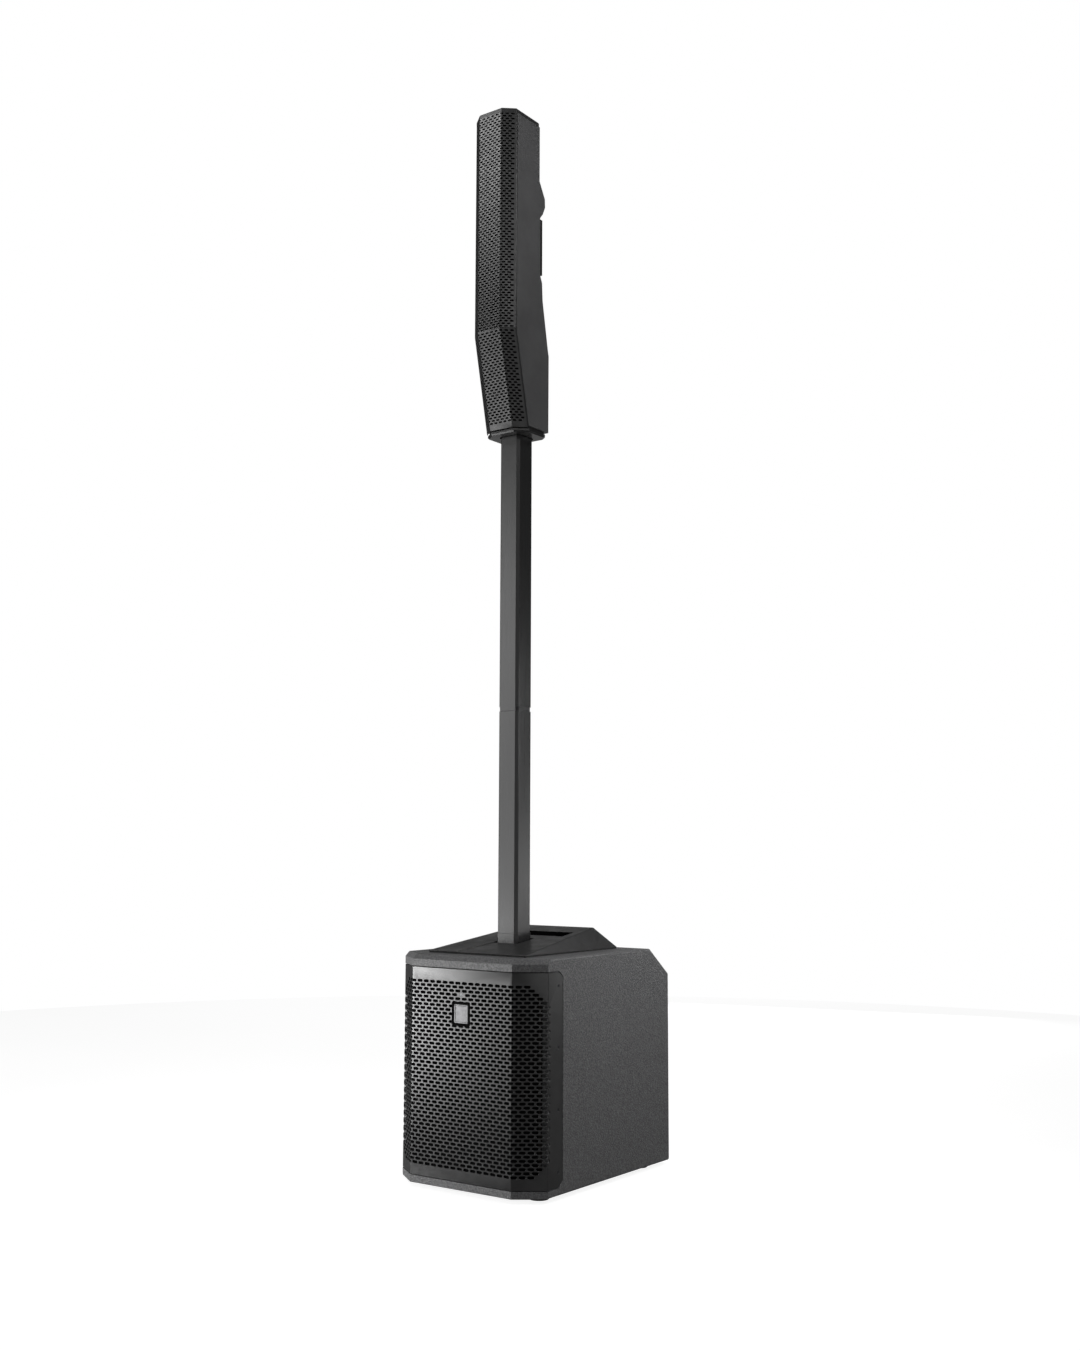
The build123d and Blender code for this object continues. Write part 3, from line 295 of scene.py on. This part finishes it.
def stained_board():
    """Black-stained plywood with the grain showing faintly."""
    s = Shader("stained_board", (0.02, 0.018, 0.016), 0.7)
    grain = s.noise(6, 6, 0.6, stretch=(0.06, 1, 1), distortion=0.6)
    s.color(s.ramp(grain, 0.35, 0.7, (0.012, 0.010, 0.009), (0.045, 0.036, 0.028)))
    s.bump(grain, 0.12)
    return s.material


def cone_paper():
    """Pressed paper with long fibres."""
    s = Shader("pressed_paper", grey(0.02), 0.75, Specular_IOR_Level=0.3)
    fibre = s.noise(2.2, 8, 0.75, distortion=1.2)
    s.color(s.ramp(fibre, 0.35, 0.7, grey(0.012), grey(0.035)))
    s.bump(fibre, 0.12)
    return s.material


def treated_cloth():
    """Resin-treated woven cloth of the spiders."""
    s = Shader("treated_cloth", (0.42, 0.27, 0.11), 0.85)
    weave = s.node("ShaderNodeTexWave", bands_direction="X")
    weave.inputs["Scale"].default_value = 300
    cross = s.node("ShaderNodeTexWave", bands_direction="Z")
    cross.inputs["Scale"].default_value = 300
    for tex in (weave, cross):
        s.link(s.where, tex.inputs["Vector"])
    both = s.math("MULTIPLY", weave.outputs["Fac"], cross.outputs["Fac"])
    s.color(s.ramp(both, 0.1, 0.9, (0.30, 0.18, 0.07), (0.52, 0.36, 0.17)))
    s.bump(both, 0.15)
    return s.material


def metal(name, color, rough, size, stretch=None, metallic=1.0):
    """Metal whose surface marks are about size millimetres across, drawn out where stretch is given."""
    s = Shader(name, color, rough, Metallic=metallic)
    marks = s.noise(size, 4, stretch=stretch)
    dark = tuple(c * 0.8 for c in color)
    s.color(s.ramp(s.noise(12, 5), 0.3, 0.75, dark, color))
    s.rough(s.ramp(marks, 0.3, 0.7, max(rough - 0.08, 0.05), rough + 0.1))
    s.bump(marks, 0.01)
    return s.material


def solder_mask():
    """Green circuit board with faint tracks."""
    s = Shader("solder_mask", (0.01, 0.07, 0.03), 0.35, Coat_Weight=0.3)
    tracks = s.node("ShaderNodeTexBrick")
    tracks.inputs["Scale"].default_value = 55
    tracks.inputs["Mortar Size"].default_value = 0.03
    s.link(s.where, tracks.inputs["Vector"])
    s.color(s.ramp(tracks.outputs["Fac"], 0.2, 0.8, (0.008, 0.06, 0.028), (0.02, 0.12, 0.05)))
    s.bump(tracks.outputs["Fac"], 0.03)
    return s.material


def dark_glass():
    """Display window with faint smears."""
    s = Shader("dark_glass", grey(0.006), 0.08, Specular_IOR_Level=0.6, Coat_Weight=0.5)
    s.rough(s.ramp(s.noise(30, 5), 0.4, 0.8, 0.05, 0.14))
    return s.material


def satin_plate():
    """Blank badge plate: dark satin metal with a fine upright brush."""
    s = Shader("satin_plate", grey(0.08), 0.34, Metallic=0.9)
    brush = s.noise(0.5, 3, stretch=(1, 1, 0.03))
    s.color(s.ramp(s.noise(9, 4), 0.3, 0.7, grey(0.065), grey(0.095)))
    s.rough(s.ramp(brush, 0.3, 0.7, 0.28, 0.42))
    s.bump(brush, 0.01)
    return s.material


def led_lens():
    """Clouded lens of the status light, unlit."""
    s = Shader("led_lens", (0.5, 0.52, 0.54), 0.3, Transmission_Weight=0.25, IOR=1.49)
    s.color(s.ramp(s.cells(1.2), 0.0, 0.7, (0.34, 0.36, 0.38), (0.16, 0.17, 0.18)))
    return s.material


# ---------------------------------------------------------------- perforated sheets
def fold_path(folds, radius):
    """Plan line of a folded sheet: a function of the distance u along it from the middle.
    It gives x, y and the inward normal. folds holds (u, angle) pairs, with the turn towards the inside."""
    legs, corner, heading, last = [], Vector((0.0, 0.0)), 0.0, 0.0
    for at, angle in folds:
        step = Vector((math.cos(heading), math.sin(heading)))
        start = corner.copy()
        corner = corner + step * (at - last)
        legs.append((last, at, start, heading, radius * math.tan(angle / 2), angle, corner.copy()))
        heading += angle
        last = at
    legs.append((last, 1e9, corner.copy(), heading, 0.0, 0.0, None))

    def place(u):
        side = -1.0 if u < 0 else 1.0
        u = abs(u)
        for start_u, end_u, start, head, reach, angle, turn in legs:
            if turn is not None and abs(u - end_u) <= reach:
                h = head + angle * (u - end_u + reach) / (2 * reach)
                step = Vector((math.cos(head), math.sin(head)))
                inward = Vector((-math.sin(head), math.cos(head)))
                centre = turn - step * reach + inward * radius
                n = Vector((-math.sin(h), math.cos(h)))
                p = centre - n * radius
                return side * p.x, p.y, side * n.x, n.y
            if u < end_u:
                step = Vector((math.cos(head), math.sin(head)))
                p = start + step * (u - start_u)
                return side * p.x, p.y, -side * math.sin(head), math.cos(head)
        raise ValueError(u)

    return place


def slot_loop(u, v, length, height, steps=4):
    """Outline of a round-ended slot."""
    r, run = height / 2, (length - height) / 2
    loop = []
    for side, first in ((1, -math.pi / 2), (-1, math.pi / 2)):
        for k in range(steps + 1):
            a = first + math.pi * k / steps
            loop.append((u + side * run + r * math.cos(a), v + r * math.sin(a)))
    return loop


def ring_loop(u, v, radius, steps=20):
    return [(u + radius * math.cos(2 * math.pi * k / steps), v + radius * math.sin(2 * math.pi * k / steps))
            for k in range(steps)]


def rounded_loop(u, v, half_u, half_v, radius, steps=6):
    """Outline of a rectangle with rounded corners."""
    loop = []
    for su, sv, first in ((1, -1, -0.5), (1, 1, 0.0), (-1, 1, 0.5), (-1, -1, 1.0)):
        for k in range(steps + 1):
            a = math.pi * (first + 0.5 * k / steps)
            loop.append((u + su * (half_u - radius) + radius * math.cos(a),
                         v + sv * (half_v - radius) + radius * math.sin(a)))
    return loop


def perforated_sheet(name, outline, slots, size, rings, folds, radius, thick, lift, edge=0.22, window=None):
    """Folded sheet with slots, in millimetres: u runs along the sheet from its middle and v is the height.
    slots are (u, v) centres, size their length and height, rings (u, v, radius) holes, and window a rounded
    (u, v, half width, half height, corner radius) opening. folds and radius are fold_path's, thick is the
    sheet's thickness and edge the width of its bevels. lift turns plan x, y and height v into a point."""
    points, edges = [], []

    def add_loop(loop):
        first = len(points)
        points.extend(loop)
        edges.extend((first + k, first + (k + 1) % len(loop)) for k in range(len(loop)))

    add_loop(outline)
    for u, v in slots:
        add_loop(slot_loop(u, v, *size))
    for u, v, r in rings:
        add_loop(ring_loop(u, v, r))
    if window:
        add_loop(rounded_loop(*window))
    low, high = min(p[1] for p in outline), max(p[1] for p in outline)
    for at, angle in folds:
        reach = radius * math.tan(angle / 2)
        for side in (-1, 1):
            for part in (-1, 0, 1):
                u = side * (at + part * reach)
                points.extend([(u, low), (u, high)])
                edges.append((len(points) - 2, len(points) - 1))
    flat, _, triangles, *_ = geometry.delaunay_2d_cdt([Vector(p) for p in points], edges, [], 1, 1e-5)

    # every hole as its centre, half its straight run and its end radius
    length, height = size
    holes = [(u, v, (length - height) / 2, height / 2) for u, v in slots]
    holes += [(u, v, 0.0, r) for u, v, r in rings]
    tree = kdtree.KDTree(len(holes))
    for k, (u, v, _, _) in enumerate(holes):
        tree.insert((u, v, 0), k)
    tree.balance()

    def in_hole(p):
        if window:
            u, v, half_u, half_v, corner = window
            du, dv = abs(p.x - u) - half_u, abs(p.y - v) - half_v
            if max(du, dv) < 0:
                return min(du, dv) < -corner or math.hypot(du + corner, dv + corner) < corner * 0.999
        for _, k, _ in tree.find_n((p.x, p.y, 0), 2):
            u, v, run, r = holes[k]
            du = max(abs(p.x - u) - run, 0.0)
            if du * du + (p.y - v) ** 2 < r * r * 0.999:
                return True
        return False

    # keep the triangles outside the holes, and find the sheet's cut edges with the way inwards at each point
    kept = [t for t in triangles if not in_hole((flat[t[0]] + flat[t[1]] + flat[t[2]]) / 3)]
    seen = {}
    for t in kept:
        for k in range(3):
            a, b, c = t[k], t[(k + 1) % 3], t[(k + 2) % 3]
            seen.setdefault(frozenset((a, b)), []).append((a, b, c))
    rim = [found[0] for found in seen.values() if len(found) == 1]
    push = {}
    for a, b, c in rim:
        along = (flat[b] - flat[a]).normalized()
        across = Vector((-along.y, along.x))
        if across.dot(flat[c] - flat[a]) < 0:
            across.negate()
        for k in (a, b):
            push[k] = push.get(k, Vector((0, 0))) + across

    path = fold_path(folds, radius)
    bm = bmesh.new()

    def vertex(uv, depth):
        x, y, nx, ny = path(uv.x)
        return bm.verts.new(Vector(lift(x + nx * depth, y + ny * depth, uv.y)) * MM)

    used = sorted({k for t in kept for k in t})
    still = Vector((0, 0))
    front = {k: vertex(flat[k] + (push[k].normalized() * edge if k in push else still), 0.0) for k in used}
    ring = {k: vertex(flat[k], edge) for k in push}
    back = {k: vertex(flat[k], thick) for k in used}
    for a, b, c in kept:
        bm.faces.new((front[a], front[b], front[c]))
        bm.faces.new((back[c], back[b], back[a]))
    for a, b, _ in rim:
        bm.faces.new((front[b], front[a], ring[a], ring[b]))
        bm.faces.new((ring[b], ring[a], back[a], back[b]))
    for face in bm.faces:
        face.smooth = True
    bmesh.ops.recalc_face_normals(bm, faces=bm.faces)
    mesh = bpy.data.meshes.new(name)
    bm.to_mesh(mesh)
    bm.free()
    mesh.set_sharp_from_angle(angle=math.radians(32))
    made = bpy.data.objects.new(name, mesh)
    bpy.context.scene.collection.objects.link(made)
    return made


def brick_rows(heights, pitch, limit):
    """Slot centres row by row, with a slot in the middle of odd rows. limit(k) is row k's furthest centre."""
    centres = []
    for k, v in enumerate(heights):
        start = 0.0 if k % 2 else 0.5
        n = 0
        while (start + n) * pitch <= limit(k):
            u = (start + n) * pitch
            centres.extend([(u, v)] if u == 0 else [(u, v), (-u, v)])
            n += 1
    return centres


def row_heights(first, last, step):
    """Heights of the rows of slots from first towards last."""
    way = math.copysign(step, last - first)
    return [first + way * k for k in range(int(abs(last - first) / step) + 1)]


def sub_grille():
    """Front grille of the subwoofer, folded back at the facets and along the sides."""

    def limit(k):
        """The first and last rows stop short of the corners of the slotted field."""
        near = min(k, SUB_ROWS - k)
        return SUB_CORNER_REACH[near] if near < len(SUB_CORNER_REACH) else SUB_ROW_REACH

    def free(u, v):
        """Whether neither the status light nor the badge takes the slot's place."""
        at_light = abs(u) < 1 and abs(v - LED_Z) < 1
        at_badge = abs(u) < BADGE_HALF - 6 and abs(v - BADGE_Z) < BADGE_HALF - 3
        return not (at_light or at_badge)

    def lift(x, y, v):
        return x, y + FRONT_Y, v

    rows = [SUB_TOP_ROW - SUB_ROW * k for k in range(SUB_ROWS)]
    slots = [at for at in brick_rows(rows, SUB_PITCH, limit) if free(*at)]
    facet = math.hypot(SUB_HALF - SUB_FACET, SUB_FOLD)
    angle = math.atan2(SUB_FOLD, SUB_HALF - SUB_FACET)
    side = SUB_FACET + facet
    end = side + FLANGE_REAR - SUB_FOLD
    du, dv = FLANGE_CORNER
    half = [(end - du, GRILLE_LOW), (end, GRILLE_LOW + dv), (end, GRILLE_HIGH - dv), (end - du, GRILLE_HIGH)]
    outline = half + [(-u, v) for u, v in reversed(half)]
    screw_u = side + SCREW_Y - SUB_FOLD
    rings = [(0.0, LED_Z, LED_HOLE)]
    rings += [(sign * screw_u, z, SCREW_HOLE) for sign in (-1, 1) for z in SCREW_ROWS]
    folds = [(SUB_FACET, angle), (side, math.pi / 2 - angle)]
    made = perforated_sheet("perforated_sub_grille", outline, slots, SUB_SLOT, rings, folds, SUB_BEND_RADIUS,
                            SUB_SHEET, lift, window=BADGE_OPENING)
    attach(made, "subwoofer")
    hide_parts("sub_grille")
    return made


def array_grilles():
    """Upper and lower grille of the array; the lower one leans back from the bend."""
    facet = math.hypot(ARRAY_HALF - ARRAY_FACET, ARRAY_FOLD)
    angle = math.atan2(ARRAY_FOLD, ARRAY_HALF - ARRAY_FACET)
    side = ARRAY_FACET + facet
    end = side + ARRAY_RETURN
    folds = [(ARRAY_FACET, angle), (side, math.pi / 2 - angle)]

    def lift(x, y, v):
        lean = max(0.0, (ARRAY_BEND - v) * ARRAY_SLANT)
        return x, y + FRONT_Y + ARRAY_FRONT + lean, v

    made = []
    upper = row_heights(ARRAY_BEND + ARRAY_ABOVE_BEND, ARRAY_TOP - ARRAY_TOP_LAND, ARRAY_ROW)
    lower = row_heights(ARRAY_BEND - ARRAY_BELOW_BEND, ARRAY_LOW + ARRAY_BOTTOM_LAND, ARRAY_ROW)
    for part, low, high, heights in (
            ("upper", ARRAY_BEND + ARRAY_SEAM_ABOVE, ARRAY_TOP, upper),
            ("lower", ARRAY_LOW, ARRAY_BEND - ARRAY_SEAM_BELOW, lower)):
        slots = brick_rows(heights, ARRAY_PITCH, lambda k: side - ARRAY_SIDE_LAND)
        outline = [(end, low), (end, high), (-end, high), (-end, low)]
        sheet = perforated_sheet("perforated_array_grille_" + part, outline, slots, ARRAY_SLOT, [], folds,
                                 ARRAY_BEND_RADIUS, ARRAY_SHEET, lift, ARRAY_EDGE)
        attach(sheet, "array")
        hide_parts("array_grille_" + part)
        made.append(sheet)
    return made


# ---------------------------------------------------------------- pieces
# each CAD material slot's finish, and the pieces whose finish is not their slot's
speckle = speckled_paint()
coat = powder_coat()
dark_coat = powder_coat("frame_coat", 0.016, 0.5, edges=0.6)
plastic = moulded()
shell_plastic = moulded("array_shell_grain", 0.075, 0.50, 0.7, 0.04, edges=3.0)
knob_plastic = moulded("knob_grain", 0.020, 0.42, 0.5, 0.02, edges=0.4)
smooth_plastic = moulded("smooth_plastic", 0.008, 0.30, 0.5, 0.008, edges=0.8)
# near-black painted shade: it stands in for the shadow inside the carrying slot and round the badge's opening
painted_shade = moulded("painted_shade_black", 0.0015, 0.8, 1.0, 0.03, edges=0.3, shine=0.04)
pole = satin_lacquer()
foam = open_foam()
rubber = soft_rubber()
board = stained_board()
paper = cone_paper()
cloth = treated_cloth()
screw = metal("black_oxide", (0.06, 0.06, 0.065), 0.38, 0.4)
ferrite = metal("ferrite", (0.05, 0.05, 0.055), 0.55, 1.5, metallic=0.6)
brass = metal("plated_brass", (0.72, 0.55, 0.25), 0.25, 0.3)
aluminium = metal("bare_aluminium", (0.62, 0.62, 0.64), 0.4, 0.5, stretch=(1, 1, 0.05))
mask = solder_mask()
display = dark_glass()
plate = satin_plate()
lens = led_lens()

FINISHES = {
    "cabinet_paint": speckle,
    "plywood": board,
    "grille_steel": coat,
    "acoustic_foam": foam,
    "moulded_plastic": plastic,
    "array_shell": shell_plastic,
    "pole_paint": pole,
    "dark_ring": rubber,
    "badge_metal": plate,
    "led_lens": lens,
    "board_frame": dark_coat,
    "ferrite": ferrite,
    "soft_rubber": rubber,
    "spider_cloth": cloth,
    "cone_paper": paper,
    "screw_steel": screw,
    "contact_brass": brass,
    "contact_block": knob_plastic,
    "panel_metal": dark_coat,
    "heatsink_metal": aluminium,
    "circuit_board": mask,
    "display_glass": display,
    "knob_plastic": knob_plastic,
    "array_board": dark_coat,
}
SPECIAL = {
    "array_rear_handle": smooth_plastic,
    "array_bottom_cap": smooth_plastic,
    "pole_joint_socket": smooth_plastic,
    # the badge's backing gets the near-black painted shade, for the shadow round the badge
    "badge_backing": painted_shade,
    "lower_pole_collar": pole,
}
slot_of = {part["node"]: part["material_slot"] for part in frame["record"]["subparts"]}
for node, thing in NODES.items():
    thing.data.materials.clear()
    thing.data.materials.append(SPECIAL.get(node, FINISHES[slot_of[node]]))

# the carrying slot in the deck is given the near-black painted shade, which stands in for the shadow inside
# the slot
housing = NODES["top_housing"]
housing.data.materials.append(painted_shade)
for face in housing.data.polygons:
    at = (housing.matrix_world @ face.center) / MM
    if abs(at.x) < SLOT_HALF_X and SLOT_FRONT < at.y < SLOT_REAR and at.z < SLOT_LIP:
        face.material_index = 1

for sheet in [sub_grille()] + array_grilles():
    sheet.data.materials.append(coat)


def foam_pad(node, body, name):
    """Foam liner with the shape of its CAD solid, shown in place of the CAD part."""
    source = NODES[node]
    pad = bpy.data.objects.new(name, source.data.copy())
    bpy.context.scene.collection.objects.link(pad)
    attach(pad, body)
    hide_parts(node)


def blank_badge():
    """Plate with a raised rim and soft corners, inside the box of the plain CAD plate."""
    low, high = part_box("badge_plate")
    middle = (low + high) / 2
    half_u = (high.x - low.x) / 2 / MM - BADGE_MARGIN_U
    half_v = (high.z - low.z) / 2 / MM - BADGE_MARGIN_V
    depth = (high.y - low.y) / MM
    # inset from the edge, and how far each ring stands back from the front
    rings = ((0.0, depth), (0.0, 0.9), (0.9, 0.0), (2.6, 0.0), (3.3, 0.6))
    bm = bmesh.new()
    loops = []
    for inset, back in rings:
        corner = max(BADGE_CORNER - inset, BADGE_LEAST_CORNER)
        outline = rounded_loop(0.0, 0.0, half_u - inset, half_v - inset, corner)
        loops.append([bm.verts.new((middle.x + u * MM, low.y + back * MM, middle.z + v * MM))
                      for u, v in outline])
    for a, b in zip(loops, loops[1:]):
        for k in range(len(a)):
            n = (k + 1) % len(a)
            bm.faces.new((a[k], a[n], b[n], b[k]))
    bm.faces.new(loops[0][::-1])
    bm.faces.new(loops[-1])
    bmesh.ops.recalc_face_normals(bm, faces=bm.faces)
    mesh = bpy.data.meshes.new("blank_badge")
    bm.to_mesh(mesh)
    bm.free()
    for face in mesh.polygons:
        face.use_smooth = True
    mesh.set_sharp_from_angle(angle=math.radians(30))
    mesh.materials.append(plate)
    made = bpy.data.objects.new("blank_badge", mesh)
    bpy.context.scene.collection.objects.link(made)
    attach(made, "subwoofer")
    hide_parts("badge_plate")


blank_badge()
foam_pad("sub_grille_foam", "subwoofer", "sub_foam_liner")
foam_pad("array_grille_foam", "array", "array_foam_liner")


# ---------------------------------------------------------------- camera, floor and light, metres
CAMERA_AT = (1.6987, -2.3252, 0.6191)
CAMERA_RAISED, CAMERA_TURNED, CAMERA_ROLLED = 0.1134, 0.6278, 0.0035
LENS_MM, SENSOR_MM = 39.40, 36.0
FLOOR_RADIUS, FLOOR_SIDES = 3.3, 96
FLOOR_GREY, FLOOR_GLOW = 0.26, 0.88
SKY_FILL, SKY_SEEN = 0.09, 1.0

camera = bpy.data.objects.new("camera", bpy.data.cameras.new("camera"))
bpy.context.scene.collection.objects.link(camera)
camera.location = CAMERA_AT
aimed = Euler((math.pi / 2 + CAMERA_RAISED, 0.0, CAMERA_TURNED)).to_matrix()
camera.rotation_euler = (aimed @ Matrix.Rotation(CAMERA_ROLLED, 3, "Z")).to_euler()
camera.data.lens = LENS_MM
camera.data.sensor_width = SENSOR_MM
bpy.context.scene.camera = camera


def pale_floor():
    """Grey paint that throws little light back at the object but is seen nearly white."""
    level = FLOOR_GREY
    s = Shader("pale_floor", (level, level, level), 0.85, Specular_IOR_Level=0.1)
    s.color(s.ramp(s.noise(900, 3), 0.3, 0.7, level - 0.01, level + 0.01))
    s.bsdf.inputs["Emission Color"].default_value = (1, 1, 1, 1)
    seen_directly = s.node("ShaderNodeLightPath").outputs["Is Camera Ray"]
    s.link(s.math("MULTIPLY", seen_directly, FLOOR_GLOW), s.bsdf.inputs["Emission Strength"])
    return s.material


floor_mesh = bpy.data.meshes.new("floor")
rim = [math.tau * k / FLOOR_SIDES for k in range(FLOOR_SIDES)]
floor_mesh.from_pydata([(FLOOR_RADIUS * math.cos(a), FLOOR_RADIUS * math.sin(a), 0) for a in rim],
                       [], [tuple(range(FLOOR_SIDES))])
floor_mesh.materials.append(pale_floor())
floor = bpy.data.objects.new("floor", floor_mesh)
bpy.context.scene.collection.objects.link(floor)

# the studio is white where it is seen and dim where it lights
world = bpy.data.worlds.new("studio")
bpy.context.scene.world = world
world.use_nodes = True
tree = world.node_tree
background = tree.nodes["Background"]
rays = tree.nodes.new("ShaderNodeLightPath")
level = tree.nodes.new("ShaderNodeMix")
level.data_type = "FLOAT"
level.inputs[2].default_value = SKY_FILL
level.inputs[3].default_value = SKY_SEEN
tree.links.new(rays.outputs["Is Camera Ray"], level.inputs[0])
tree.links.new(level.outputs[0], background.inputs["Strength"])
background.inputs["Color"].default_value = (1, 1, 1, 1)


def softbox(name, azimuth, distance, height, wide, tall, radiance, aim):
    """Area light at an azimuth in degrees round the object, 0 in front and positive towards +X, aimed at a
    point. radiance is how bright its face is, so a larger box of the same radiance gives more light."""
    lamp = bpy.data.objects.new(name, bpy.data.lights.new(name, "AREA"))
    bpy.context.scene.collection.objects.link(lamp)
    a = math.radians(azimuth)
    lamp.location = (math.sin(a) * distance, -math.cos(a) * distance, height)
    lamp.rotation_euler = (Vector(aim) - lamp.location).to_track_quat("-Z", "Y").to_euler()
    lamp.data.shape = "RECTANGLE"
    lamp.data.size, lamp.data.size_y = wide, tall
    lamp.data.energy = radiance * math.pi * wide * tall
    lamp.visible_camera = False


# from the left: the main light, then the bright patches on the array's top, the grille and the lower array
softbox("key", -42, 3.4, 1.1, 1.5, 2.2, 3.4, (0, 0, 1.1))
softbox("key_high", -42, 2.6, 3.35, 1.2, 0.8, 8.8, (0, 0, 1.9))
softbox("key_near", -55, 1.5, 0.15, 0.5, 0.3, 30.0, (0, -0.25, 0.3))
softbox("key_spot", -39, 1.12, 0.19, 0.26, 0.26, 10.5, (-0.1, -0.25, 0.28))
softbox("key_slant", -40, 1.6, 1.25, 0.7, 0.5, 1.0, (0, 0, 1.5))
# from behind: soft edges on both sides, and enough light to read the rear panel
softbox("backdrop_left", -144, 3.5, 0.9, 3.0, 1.6, 0.4, (0, 0, 0.6))
softbox("backdrop_right", 144, 4.0, 0.42, 3.4, 0.26, 4.9, (0, 0, 0.5))
softbox("rear_fill", -166, 3.0, 0.4, 1.2, 0.7, 3.2, (0, 0, 0.3))
# from the camera's side: fill, and the light on the top surfaces
softbox("camera_mid", 44, 4.5, 1.3, 1.6, 2.0, 0.8, (0, 0, 1.0))
softbox("camera_high", 45, 4.0, 3.2, 1.6, 0.8, 3.3, (0, 0, 1.7))
# from the right: the cabinet's side, its front facet and the array's side
softbox("right_near", 105, 0.68, 0.90, 0.35, 0.35, 12.2, (0.165, 0, 0.35))
softbox("chamfer_low", 54, 1.6, 0.15, 0.8, 0.25, 2.0, (0.15, -0.2, 0.2))
softbox("array_near", 90, 1.0, 2.2, 0.4, 0.4, 8.9, (0.05, 0, 1.8))

view = bpy.context.scene.view_settings
view.view_transform = "Standard"
view.look = "None"
view.exposure = 0.0
view.gamma = 1.0
